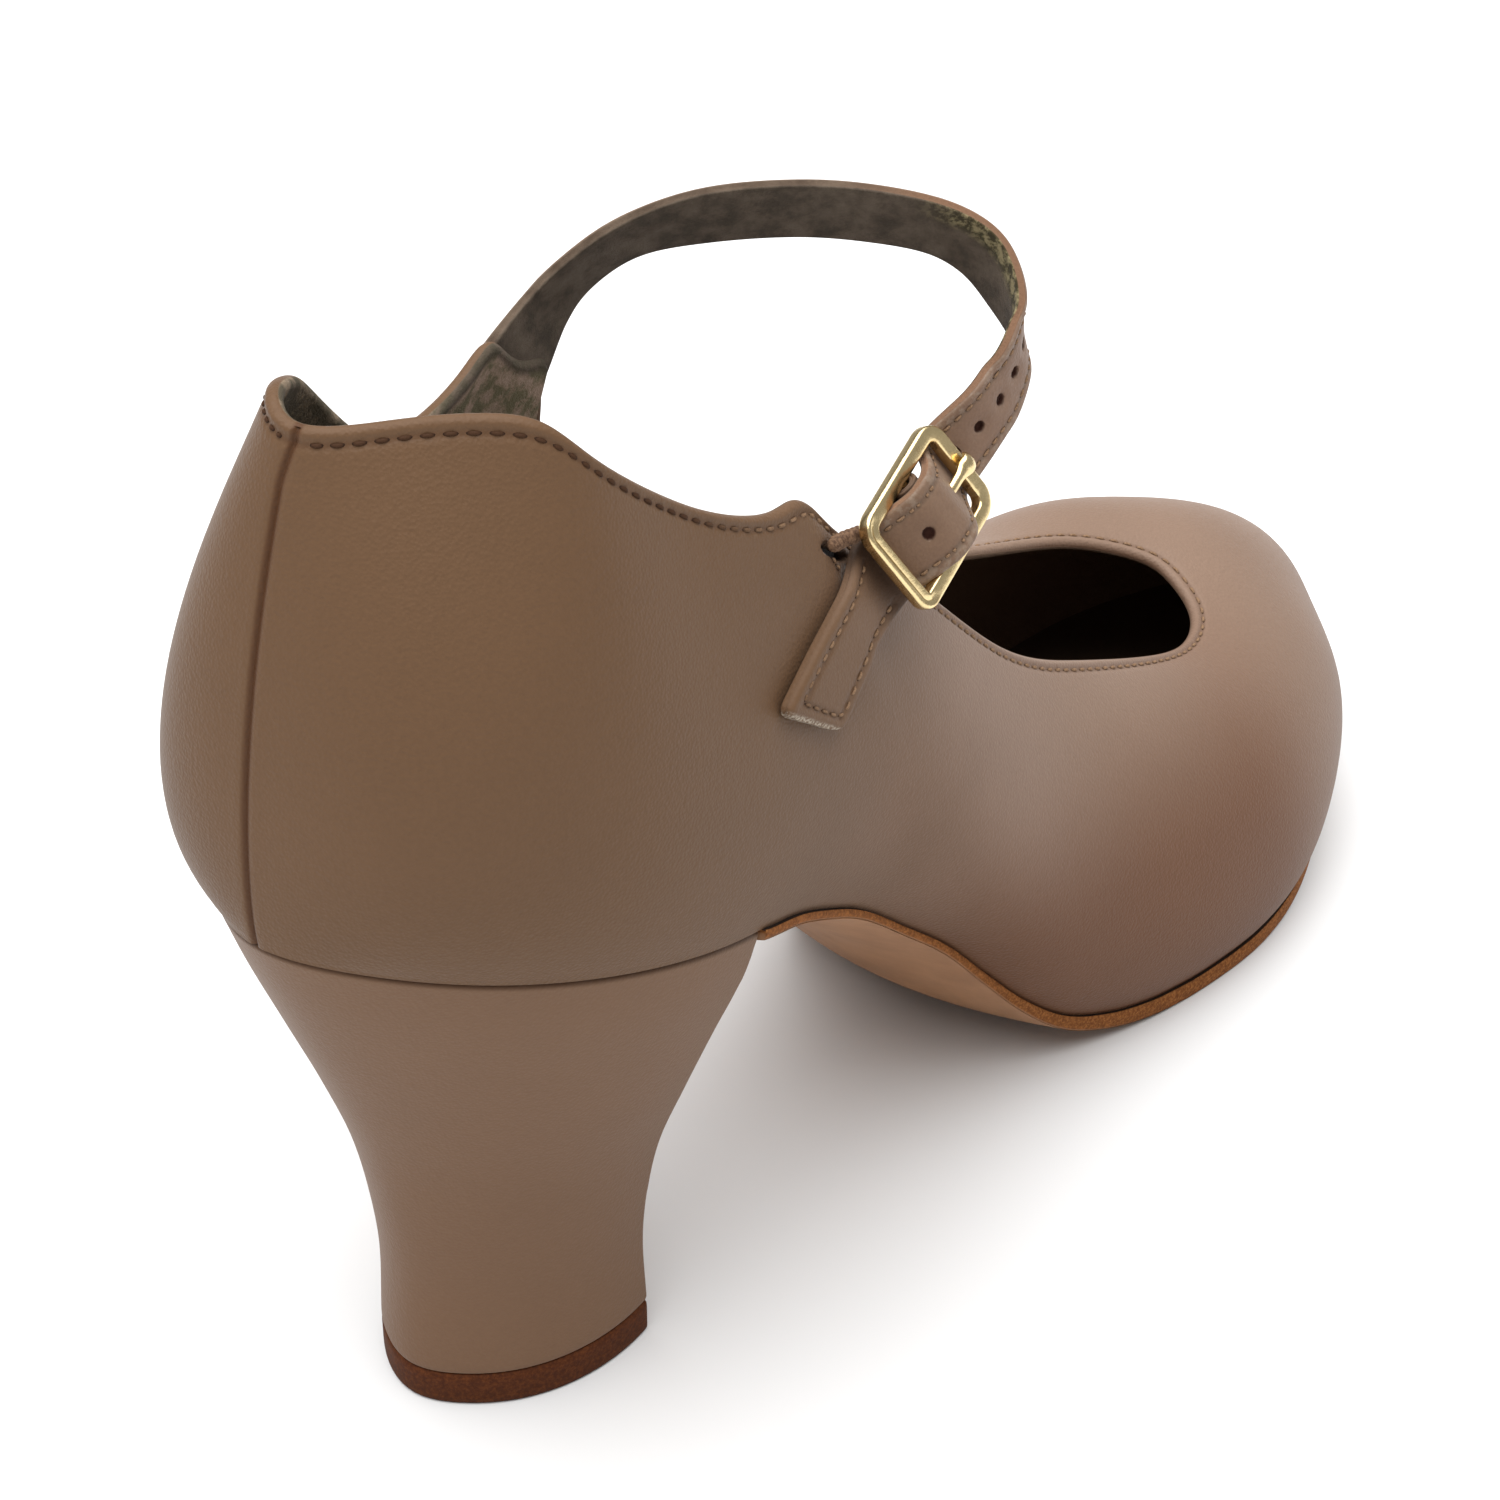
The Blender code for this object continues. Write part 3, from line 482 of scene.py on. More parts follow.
# Where each rib swells, in shares of FULLNESS at four heights up the rib.
SWELL_AT = (0.05, 0.25, 0.55, 0.82)
SWELL = (
    # low, belly, shoulder, top
    (0.10, 0.38, 0.42, 0.15),
    (0.28, 0.85, 0.75, 0.25),
    (0.36, 1.10, 0.90, 0.25),
    (0.28, 0.80, 0.65, 0.20),
    (0.24, 0.68, 0.60, 0.20),
    (0.34, 0.90, 0.80, 0.26),
    (0.38, 1.00, 0.90, 0.30),
    (0.40, 1.02, 0.95, 0.36),
    (0.44, 1.05, 1.00, 0.42),
    (0.50, 1.10, 1.05, 0.50),
    (0.58, 1.18, 1.12, 0.56),
    (0.66, 1.26, 1.20, 0.62),
    (0.70, 1.26, 1.18, 0.84),
    (0.72, 1.28, 1.20, 1.02),
    (0.68, 1.26, 1.34, 1.36),
    (0.64, 1.20, 1.48, 1.56),
    (0.58, 1.12, 1.52, 1.54),
    (0.50, 1.02, 1.32, 1.22),
    (0.44, 0.96, 0.92, 0.42),
    (0.38, 0.90, 0.84, 0.34),
    (0.34, 0.84, 0.76, 0.28),
    (0.28, 0.76, 0.66, 0.22),
    (0.24, 0.68, 0.58, 0.18),
    (0.28, 0.84, 0.66, 0.20),
    (0.56, 1.06, 0.88, 0.28),
    (0.48, 0.96, 0.86, 0.30),
)


def topline(at):
    """Points of the topline above places round the shoe."""
    rows = np.array(TOPLINE)
    top = HEEL_HEIGHT + QUARTER_HEIGHT
    high = VAMP_HEIGHT + rows[:, 3] * (top - VAMP_HEIGHT)
    points = np.stack([rows[:, 1] * THROAT_END, rows[:, 2] * TOPLINE_WIDTH / 2, high], axis=1)
    return ring(place(rows[:, 0]), points, GIRTH, at)


def lasted(at, heights):
    """The upper's outer face: ribs round the shoe, each read at shares of its height."""
    foot = feather(at)
    low = np.column_stack([foot, bed(foot[:, 0]) + GAP])
    high = topline(at)
    chord = high - low
    ahead = feather(at + 2.7 * MM) - feather(at - 2.7 * MM)
    out = unit(np.cross(np.column_stack([ahead, np.zeros(len(at))]), chord))
    swell = ring(STATION_AT, SWELL, GIRTH, at) * FULLNESS
    control = [low]
    for k, height in enumerate(SWELL_AT):
        control.append(low + height * chord + swell[:, k : k + 1] * out)
    control.append(high)
    total = 0
    for k, row in enumerate(control):
        weight = math.comb(5, k) * heights**k * (1 - heights) ** (5 - k)
        total = total + row[:, None, :] * weight[None, :, None]
    return total


def facing(grid):
    """Outward unit normals of a grid of points round the shoe."""
    across = np.roll(grid, -1, axis=0) - np.roll(grid, 1, axis=0)
    return unit(np.cross(across, np.gradient(grid, axis=1)))


def fine_places(spans, coarse):
    """Places round the shoe, closer together inside the (start, end, step) spans."""
    at = [0.0]
    while at[-1] < GIRTH:
        step = min([coarse] + [s for start, end, s in spans if start <= at[-1] % GIRTH < end])
        at.append(at[-1] + step)
    return np.array(at[:-1]) * GIRTH / at[-1]


def tan_grain(where):
    """The smooth leather's fine pores and softer grain."""
    pores = where.cells(0.42 * MM)
    cloud = where.noise(0.9 * MM, 3, 0.6)
    return pores * 0.7 + cloud * 0.6


def tan_colour(where):
    """Tan leather, warmer in the quarters; the rosier forepart gets painted light where it faces up
    and painted shade near the sole.
    """
    along = where.axis(0)
    cloud = where.noise(22 * MM, 3, 0.55)
    fleck = where.noise(0.6 * MM, 2)
    rosy = (along + cloud * 20 * MM).rises(30 * MM, 90 * MM)
    # Faces that look up are painted paler, as painted light from the overhead lamp.
    lit_from_above = where.node("NewGeometry", {}, {}, out="Normal").axis(2).rises(-0.3, 0.9)
    rose = blend((0.166, 0.095, 0.061), lit_from_above, (0.222, 0.150, 0.109))
    # The forepart darkens a little towards the toe, and its low sides behind the toe get painted
    # shade near the sole.
    low = where.axis(2).rises(56 * MM, 26 * MM)
    behind_toe = 1 - along.rises(126 * MM, 162 * MM)
    toe_tone_and_low_shade = along.rises(118 * MM, 160 * MM) * 0.12 + low * behind_toe * 0.75
    rose = rose.mixed(toe_tone_and_low_shade, (0.10, 0.035, 0.010, 1))
    tone = colour(where, (0.117, 0.064, 0.033)).mixed(rosy, rose)
    return tone.times(0.85 + cloud * 0.14 + fleck * 0.16)


def on_tab(where):
    """1 on the medial tab and 0 on the rest of the lining."""
    return where.axis(2).rises(92 * MM, 101 * MM) * where.axis(0).rises(12 * MM, 22 * MM)


def lining_colour(where):
    """Suede lining: olive grey in the quarters, paler on the tab and brown in the forepart."""
    mottle = where.noise(2.6 * MM, 4, 0.65)
    fibre = where.noise(0.35 * MM, 4, 0.7)
    spots, wide_spots = mottle.rises(0.45, 0.68), mottle.rises(0.40, 0.62)
    back = blend((0.088, 0.070, 0.045), spots, (0.25, 0.185, 0.125))
    pale = blend((0.17, 0.145, 0.085), wide_spots, (0.40, 0.285, 0.215))
    tab = on_tab(where)
    deep = where.axis(0).rises(38 * MM, 52 * MM) * (1 - tab)
    tone = back.mixed(tab, pale).mixed(deep, (0.17, 0.108, 0.070, 1))
    return tone.times(0.7 + fibre * 0.6)


def upper_paint(where):
    inside, drop, seam, pit = (mark(where, name) for name in ("inside", "drop", "seam", "pit"))
    inside = inside.rises(0.25, 0.75)
    grain = tan_grain(where)
    fibre = where.noise(0.35 * MM, 4, 0.7)
    dark_seam = seam.rises(0.85 * MM, 0.2 * MM)
    # A darker line along the stitch groove below the topline: painted shade.
    row = abs(drop - TOPLINE_ROW).rises(0.6 * MM, 0.1 * MM) * 0.35
    tone = tan_colour(where).mixed(dark_seam * 0.8, (0.070, 0.028, 0.011, 1))
    # The slit's hollow is painted near black: painted shade inside the buttonhole.
    tone = tone.mixed(row, (0.075, 0.034, 0.017, 1)).mixed(pit, (0.008, 0.004, 0.003, 1))
    tab_rim = drop.rises(2.2 * MM, 0.7 * MM) * on_tab(where)
    lining = lining_colour(where).mixed(tab_rim * 0.85, (0.066, 0.052, 0.038, 1))
    tone = tone.mixed(inside, lining)
    height = grain * (1 - inside) + fibre * inside * 3
    return look(tone, 0.42 + grain * 0.08 + inside * 0.4, dent(where, height, 0.11 * MM, 0.75))


shine = {"Specular IOR Level": 0.14, "Sheen Weight": 0.02}
upper_leather = finish("tan upper leather", upper_paint, shine)
slit_at = place(SLIT_STATION)
seam_reach = 4.2 * MM
near_slit = (slit_at - 8 * MM, slit_at + 8 * MM, 0.4 * MM)
near_seam = ((0, seam_reach, 0.22 * MM), (GIRTH - seam_reach, GIRTH, 0.22 * MM))
at = fine_places((*near_seam, near_slit), 1.0 * MM)
spans = ((0, 0.05, 6), (0.05, 0.82, 30), (0.82, 0.975, 24))
heights = [np.linspace(*span)[:-1] for span in spans]
heights = np.concatenate(heights + [1 - 0.025 * np.linspace(1, 0, 12) ** 1.6])
outer = lasted(at, heights)
normal = facing(outer)
run = np.linalg.norm(np.diff(outer, axis=1), axis=2)
drop = np.concatenate([np.cumsum(run[:, ::-1], axis=1)[:, ::-1], np.zeros((len(at), 1))], axis=1)
seam_line = lasted(np.array([0.0, GIRTH - SEAM_SHIFT]), heights)
seam_line = seam_line[0] + (seam_line[1] - seam_line[0]) * ease(heights, 1.0, 0.88)[:, None]
seam = np.linalg.norm(outer - seam_line, axis=2)
half = UPPER_WALL / 2
tuck = half - np.sqrt(np.maximum(half**2 - np.clip(half - drop, 0, None) ** 2, 0))
groove = 0.22 * MM * bump(drop, TOPLINE_ROW, 0.45 * MM) - 0.10 * MM * bump(drop, 0.9 * MM, 0.5 * MM)
closing = 0.42 * MM * bump(seam, 0, 0.32 * MM) - 0.05 * MM * bump(seam, 1.2 * MM, 0.7 * MM)
along_slit = (outer - SLIT) @ SLIT_WAY
beside_slit = np.linalg.norm(outer - SLIT - along_slit[:, :, None] * SLIT_WAY, axis=2)
# How far into the slit's hollow a point lies; the paint fills this hollow with painted shade.
pit = ease(np.hypot(along_slit / (4.0 * MM), beside_slit / (0.8 * MM)), 1.15, 0.7)
sunk = tuck + groove + closing * (drop > 0.3 * MM) + 1.1 * MM * pit
face_out = outer - sunk[:, :, None] * normal
face_in = outer - (UPPER_WALL - tuck)[:, :, None] * normal
for face in (face_out, face_in):
    face[:, 0, 2] -= GAP - 0.02 * MM  # no light shows under the lasted edge


def over_edge(first, second):
    """Rows of the outer face, then those of the inner face from the topline down."""
    return np.concatenate([first, second[:, ::-1][:, 1:]], axis=1)


wall = over_edge(face_out, face_in)
inside = over_edge(np.where(drop < 0.05 * MM, 0.3, 0.0), np.ones_like(drop))
marks = {"drop": over_edge(drop, drop), "seam": over_edge(seam, seam)}
marks |= {"inside": inside, "pit": over_edge(pit, pit) * (1 - inside)}
upper = skin("upper_leather", wall, marks, upper_leather, around=True, through=True)
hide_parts("upper")

# The outsole: thin sole leather, cut with a rough rust-brown edge and a smooth tan underside.
# It is cemented on from the heel breast to the toe, with its lower corner bevelled.

SOLE_MARGIN = 0.5 * MM
SPINE_REACH = 26 * MM
WAIST_CROWN = 5.5 * MM
BEVEL = 0.35 * MM


def sole_paint(where):
    under = mark(where, "under")
    fuzz = where.noise(0.45 * MM, 5, 0.75)
    streak = where.noise(3 * MM, 3, 0.6)
    scuff = where.noise(9 * MM, 4, 0.65)
    edge = blend((0.140, 0.045, 0.010), fuzz.rises(0.38, 0.7), (0.34, 0.130, 0.034))
    scuff = scuff.rises(0.35, 0.7) * 0.6
    flat = blend((0.33, 0.170, 0.085), scuff, (0.25, 0.122, 0.060))
    bevel = under.rises(0.02, 0.3) * under.rises(0.98, 0.6)
    tone = edge.mixed(under.rises(0.3, 0.7), flat).mixed(bevel * 0.6, (0.36, 0.20, 0.11, 1))
    # The outsole's upper face, hidden under the upper, is painted near black: painted shade between
    # the parts.
    tone = tone.mixed(under.rises(-0.1, -0.5), (0.02, 0.012, 0.008, 1))
    rough = under.rises(0.7, 0.3)
    normal = dent(where, fuzz * (0.15 + rough), 0.16 * MM, 0.7)
    return look(tone.times(0.85 + streak * 0.3), 0.55 + rough * 0.35, normal)


sole_leather = finish("sole leather", sole_paint, {"Specular IOR Level": 0.2})
start = SEAT_LENGTH + GAP
whole = outline_in(-SOLE_MARGIN, 900)
whole = np.roll(whole, -int(whole[:, 0].argmin()), axis=0)
ahead = np.flatnonzero(whole[:, 0] >= start)
rim = whole[ahead]
rim[0, 0] = rim[-1, 0] = start
spine = to_spine(whole, SPINE_REACH)[ahead]
spine[:, 0] = np.maximum(spine[:, 0], start)
near_breast = rim[:, 0] < start + SPINE_REACH
spine[near_breast, 0] = rim[near_breast, 0]
inwards = np.array([0, 0.008, 0.02, 0.04, 0.07, 0.11, 0.17, 0.25, 0.34, 0.44, 0.56, 0.7, 0.85, 1.0])
plan = rim[:, None] + (spine - rim)[:, None] * inwards[None, :, None]
crown = WAIST_CROWN * (1 - ease(plan[..., 0], SEAT_LENGTH + 0.3 * FOREPART, FLAT_START))
across = across_share(plan, whole)
across[:, 0] = np.round(across[:, 0])
bottom = underside(plan[..., 0]) - crown * (1 - (2 * across - 1) ** 2)
bottom_face = np.dstack([plan, bottom])
up = bed(rim[:, 0])
down = underside(rim[:, 0])
out_way = rim - spine
out_way /= np.maximum(np.linalg.norm(out_way, axis=1)[:, None], 1e-9)
edge_rows = []
for part, outwards in ((0.0, 0.0), (0.25, 0.1), (0.5, 0.12), (0.75, 0.08), (1.0, 0.0)):
    high = up + (down + BEVEL - up) * part
    edge_rows.append(np.column_stack([rim + outwards * MM * out_way, high]))
bottom_face[:, 0, :2] = rim - BEVEL * out_way
top_rows = np.dstack([plan[:, ::-1], np.broadcast_to(bed(plan[:, ::-1, 0]), plan.shape[:2])])
grid = np.concatenate([top_rows[:, :-1], np.stack(edge_rows, axis=1), bottom_face], axis=1)
inner_rows = np.ones(len(inwards) - 1)
under = np.concatenate([-inner_rows, np.zeros(len(edge_rows)), [0.62], inner_rows])[None, :]
outsole = skin("outsole_leather", grid, {"under": under}, sole_leather, caps=True)
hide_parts("outsole")

# The heel: a flared block under a cover of the upper's tan leather, without a seam at the sides.
# The cover folds over the breast and meets the upper in a dark joint. Below it is the top piece.

TOP_PIECE = 5 * MM
TOP_PIECE_LENGTH = 27 * MM
TOP_PIECE_WIDTH = 30 * MM
HEEL_TUCK = 17.5 * MM
HEEL_HOLLOW = 2 * MM
HEEL_SWAY = 1 * MM

# From the seat, 1, to the top piece, 0: how far each side has still to come in.
HEEL_SHAPE = (
    # height, back, breast, width
    (1.00, 1.00, 1.00, 1.00),
    (0.90, 0.85, 0.81, 0.91),
    (0.75, 0.60, 0.49, 0.67),
    (0.60, 0.35, 0.24, 0.42),
    (0.45, 0.14, 0.08, 0.17),
    (0.30, 0.02, 0.01, 0.03),
    (0.15, -0.03, -0.01, -0.03),
    (0.00, 0.00, 0.00, 0.00),
)


def heel_section(share, count=360, soft=0.7 * MM):
    """One closed section of the heel in plan with softened corners, and the seat's x above it."""
    at = np.linspace(-place(4), place(4), 240)[::-1]
    seat = feather(at)
    seat[:, 0] = np.minimum(seat[:, 0], SEAT_LENGTH)
    u = seat[:, 0] / SEAT_LENGTH
    v = seat[:, 1] / (SEAT_WIDTH / 2)
    shape = np.array(HEEL_SHAPE)[::-1]
    back, breast, width = (steady(shape[:, [0, k]], share) for k in (1, 2, 3))
    front = HEEL_TUCK + TOP_PIECE_LENGTH
    x_back = HEEL_TUCK * (1 - back)
    x_breast = front + (SEAT_LENGTH - front) * breast
    wide = TOP_PIECE_WIDTH / 2 + (SEAT_WIDTH - TOP_PIECE_WIDTH) / 2 * width
    side = np.column_stack([x_back + u * (x_breast - x_back), v * wide + HEEL_SWAY * (1 - width)])
    edge = np.linspace(-1, 1, 61)[1:-1]
    across = side[-1, 1] + (side[0, 1] - side[-1, 1]) * (edge + 1) / 2
    hollow = HEEL_HOLLOW * (1 - share) ** 0.5
    face = np.column_stack([x_breast - hollow * (1 - edge**2), across])
    points = np.vstack([side, face])
    over = np.append(seat[:, 0], np.full(len(face), SEAT_LENGTH))
    ring_points = np.column_stack([points, over])
    ring_points = np.vstack([ring_points, ring_points[:1]])
    run = run_along(ring_points[:, :2])
    even = read_along(ring_points, run, np.linspace(0, run[-1], count, endpoint=False))
    reach = max(1, round(soft / (run[-1] / count)))
    weights = np.hanning(2 * reach + 3)[1:-1]
    weights /= weights.sum()
    shifts = range(-reach, reach + 1)
    return sum(w * np.roll(even, s, axis=0) for w, s in zip(weights, shifts))


def drawn_in(section, distance):
    """A section's plan, moved towards its middle."""
    plan = section[:, :2]
    return plan + np.reshape(distance, (-1, 1)) * unit(plan.mean(axis=0) - plan)


def cover_paint(where):
    grain = tan_grain(where)
    joint = mark(where, "near").rises(1.1 * MM, 0.3 * MM) * 0.85
    tone = tan_colour(where).mixed(0.12, (0.26, 0.16, 0.12, 1)).times(1.14)
    normal = dent(where, grain, 0.09 * MM, 0.7)
    return look(tone.mixed(joint, (0.055, 0.024, 0.010, 1)), 0.44 + grain * 0.08, normal)


heel_cover = finish("tan heel cover", cover_paint, shine)
sections, near = [], []
shares = [np.linspace(0, 0.02, 4)[:-1], np.linspace(0.02, 0.97, 56)[:-1]]
for share in np.concatenate(shares + [1 - 0.03 * np.linspace(1, 0, 8) ** 1.5]):
    section = heel_section(share)
    top = HEEL_HEIGHT - SEAT_PITCH * section[:, 2]
    z = TOP_PIECE + share * (top - TOP_PIECE)
    gone = top - z
    tuck = 0.55 * MM * np.clip(1 - gone / (0.9 * MM), 0, 1) ** 2
    tuck = tuck + 0.15 * MM * bump(z - TOP_PIECE, 0, 0.25 * MM)
    sections.append(np.column_stack([drawn_in(section, tuck), z]))
    near.append(gone)
sections, marks = np.array(sections), {"near": np.array(near)}
heel = skin("heel_cover", sections, marks, heel_cover, through=True, caps=True)
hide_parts("heel")

# Heights up the top piece and how far its edge is rounded in there, in mm.
LIFT_FOOT = ((0.0, 0.5), (0.12, 0.22), (0.4, 0.03), (0.9, 0.0), (1.8, 0.0))
LIFT_TOP = ((2.8, 0.0), (3.7, 0.0), (4.3, 0.05), (4.6, 0.2), (4.7, 0.5))


def lift_paint(where):
    height = where.axis(2)
    fuzz = where.noise(0.5 * MM, 5, 0.7)
    band = where.node("CombineXYZ", {}, {0: 0.0, 1: 0.0, 2: height}).noise(1.1 * MM, 2)
    tone = blend((0.047, 0.011, 0.002), fuzz.rises(0.35, 0.72), (0.105, 0.030, 0.007))
    worn = height.rises(0.7 * MM, 0.0)
    tone = tone.mixed(worn * 0.5, (0.05, 0.022, 0.012, 1)).times(0.75 + band * 0.5)
    return look(tone, 0.6 + fuzz * 0.25, dent(where, fuzz + band * 0.5, 0.12 * MM, 0.6))


lift_leather = finish("brown lift leather", lift_paint, {"Specular IOR Level": 0.15})
base = heel_section(0.0)
lift = []
for z, tuck in LIFT_FOOT + LIFT_TOP:
    lift.append(np.column_stack([drawn_in(base, tuck * MM), np.full(len(base), z * MM)]))
name, lift = "top_piece_leather", np.array(lift)
top_piece = skin(name, lift, {}, lift_leather, through=True, caps=True)
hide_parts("top_piece")

# The topline stitching: one row of tan thread two millimetres below the folded edge.
# Each stitch is a short twist of thread that dips into the leather at both ends.

STITCH = 2.3 * MM
THREAD = 0.24 * MM


def thread_paint(where):
    twist = where.noise(0.16 * MM, 2)
    # The ends of each stitch, where it dips into its holes, are painted near black: painted shade
    # in the holes.
    tip = mark(where, "tip").rises(0.45, 0.95)
    pale = blend((0.235, 0.145, 0.085), twist.rises(0.4, 0.75), (0.12, 0.068, 0.038))
    # Near the back the thread is painted near black: painted shade of the recessed stitching there.
    back_shade = where.axis(0).rises(34 * MM, 12 * MM)
    tone = pale.mixed(back_shade * 0.95, (0.044, 0.019, 0.009, 1)).mixed(tip, (0.018, 0.010, 0.007, 1))
    return {"Base Color": tone, "Roughness": 0.6 + twist * 0.2}


thread = finish("tan thread", thread_paint, {"Specular IOR Level": 0.1})


def resample(points, step):
    """Evenly spaced samples along a polyline."""
    run = run_along(points)
    return read_along(points, run, np.linspace(0, run[-1], max(2, round(run[-1] / step) + 1)))


def stitches(name, points, normals, pitch, size, rise):
    """A row of stitches of this size along points on a surface with the given normals."""
    both = resample(np.hstack([points, normals * 10 * MM]), pitch)
    verts, faces, tips = [], [], []
    sides, rings = 7, 7
    for start, end in zip(both, both[1:]):
        way = (end[:3] - start[:3]) * 0.8  # the rest is the gap to the next stitch
        length = np.linalg.norm(way)
        if length < pitch * 0.3:
            continue
        out = unit(start[3:] + end[3:])
        middle = (start[:3] + end[:3]) / 2
        aside = np.cross(way / length, out)
        first = len(verts)
        for k in range(rings):
            s = -0.5 + k / (rings - 1)
            arch = rise * (1 - (2 * s) ** 2 * 2.2)
            fat = size * (1 - 0.45 * (2 * s) ** 2)
            for j in range(sides):
                turn = 2 * math.pi * j / sides
                around = fat * (math.cos(turn) * aside + 0.8 * math.sin(turn) * out)
                verts.append(middle + way * s + arch * out + around)
                tips.append(abs(2 * s))
        for k in range(rings - 1):
            for j in range(sides):
                a, b = first + k * sides + j, first + k * sides + (j + 1) % sides
                faces.append((a, b, b + sides, a + sides))
        faces.append([first + j for j in range(sides)][::-1])
        faces.append([first + (rings - 1) * sides + j for j in range(sides)])
    return add_piece(name, verts, faces, {"tip": tips}, thread)


def below_topline(grid, drops, depth):
    """The row of a grid's points that lies this far below its topline, and its normals."""
    both = np.dstack([grid, facing(grid)])[:, ::-1]
    return np.array([read_along(rib, down, [depth])[0] for rib, down in zip(both, drops[:, ::-1])])


row = below_topline(face_out, drop, TOPLINE_ROW)
tab_ribs = np.flatnonzero((at > place(TAB[0] - 0.02)) & (at < place(TAB[1] + 0.02)))
for name, part in (("front", row[: tab_ribs[0]]), ("back", row[tab_ribs[-1] + 1 :])):
    stitches(f"topline_stitch_{name}", part[:, :3], part[:, 3:], STITCH, THREAD, 0.16 * MM)

# The instep strap: tan leather on a grey suede lining, stitched along both edges and punched.
# It is one with the medial quarter, arches over the instep and goes through the buckle.

STRAP_WIDTH = 9.2 * MM
STRAP = 1.4 * MM
STRAP_HOLE = 1.45 * MM
STRAP_ROW = STRAP_WIDTH / 2 - 1.35 * MM  # the stitches' distance from the strap's middle
BUCKLE_LENGTH = 16.4 * MM
BUCKLE_WIDTH = 12.2 * MM
BUCKLE_WIRE = 1.8 * MM
EYE = 1.95 * MM  # radius of the carrier's fold round the bar

# Centre line from the medial tab to the buckle, and the way to the strap's rear edge.
STRAP_PATH = (
    # along, out, up in mm, and the edge's direction
    (66.7, 21.7, 114.6, -0.81, 0.00, 0.58),
    (70.2, 21.2, 119.6, -0.82, -0.08, 0.57),
    (73.8, 19.3, 123.6, -0.75, -0.23, 0.62),
    (79.0, 15.5, 127.4, -0.67, -0.26, 0.69),
    (85.4, 9.1, 129.6, -0.48, -0.23, 0.85),
    (92.8, 1.2, 130.1, -0.38, -0.29, 0.88),
    (98.5, -5.6, 129.3, -0.33, -0.35, 0.88),
    (103.2, -11.7, 127.6, -0.25, -0.51, 0.82),
    (105.6, -15.9, 124.9, -0.21, -0.61, 0.77),
    (105.4, -18.9, 122.2, -0.30, -0.62, 0.73),
    (104.7, -21.2, 119.6, -0.47, -0.60, 0.64),
    (103.6, -22.9, 117.2, -0.72, -0.47, 0.52),
    (102.1, -24.0, 116.1, -0.87, -0.22, 0.43),
    (99.8, -24.0, 112.9, -0.86, 0.03, 0.52),
    (96.2, -24.2, 110.6, -0.76, 0.16, 0.62),
)
HOLES_AT = (74.5, 77.9, 81.7, 85.7, 89.9, 105.2)  # mm from the tab, the last one under the prong
BUCKLE_AT = np.array((81.8, -25.8, 103.2)) * MM
along_buckle = np.array(Vector((-0.908, -0.142, -0.393)).normalized())
across_buckle = np.array((-0.415, 0.417, 0.808))
across_buckle = unit(across_buckle - (across_buckle @ along_buckle) * along_buckle)
out_of_buckle = np.cross(across_buckle, along_buckle)
BUCKLE_AXES = np.stack([along_buckle, across_buckle, out_of_buckle])


def from_buckle(points):
    """Points given along, across and out of the buckle, in the shoe's frame."""
    return BUCKLE_AT + np.asarray(points, float) @ BUCKLE_AXES


def open_curve(points, count):
    """A smooth curve through points, with evenly spaced samples."""
    points = np.asarray(points, float)
    lean = np.gradient(points, axis=0)
    fine = []
    for k in range(len(points) - 1):
        t = np.linspace(0, 1, 24, endpoint=k == len(points) - 2)[:, None]
        fine.append(cubic(points[k], points[k + 1], lean[k], lean[k + 1], t))
    fine = np.concatenate(fine)
    run = run_along(fine[:, :3])
    return read_along(fine, run, np.linspace(0, run[-1], count))


def axes_along(centres, edges):
    """Unit vectors to a band's rear edge and out of it, at each of its centres."""
    ahead = unit(np.gradient(centres, axis=0))
    edges = unit(edges - (edges * ahead).sum(1)[:, None] * ahead)
    return edges, np.cross(edges, ahead)


def band_profile(width, thickness, top_round, low_round, step):
    """A strip's cross-section (across, out), from the rear over its face and back under it."""
    half, deep = width / 2, thickness / 2

    def corner(across, out, radius, steps):
        """Points round the corner at this side, at these eighths of half a turn."""
        turn = np.array(steps) * math.pi / 8
        middle = (across * (half - radius), out * (deep - radius))
        return (middle + radius * np.stack([np.cos(turn), np.sin(turn)], axis=1)).tolist()

    top = np.append(np.arange(half - top_round, -half + top_round, -step), -half + top_round)
    low = np.append(np.arange(-half + low_round, half - low_round, step)[1:], half - low_round)
    points = [(a, deep) for a in top] + corner(-1, 1, top_round, (5, 6, 7, 8))
    points += [(-half + 0.12 * MM, 0.0)] + corner(-1, -1, low_round, (8, 9, 10, 11, 12))
    points += [(a, -deep) for a in low] + corner(1, -1, low_round, (13, 14, 15, 16))
    points += [(half - 0.12 * MM, 0.0)] + corner(1, 1, top_round, (0, 1, 2, 3))
    return np.array(points)


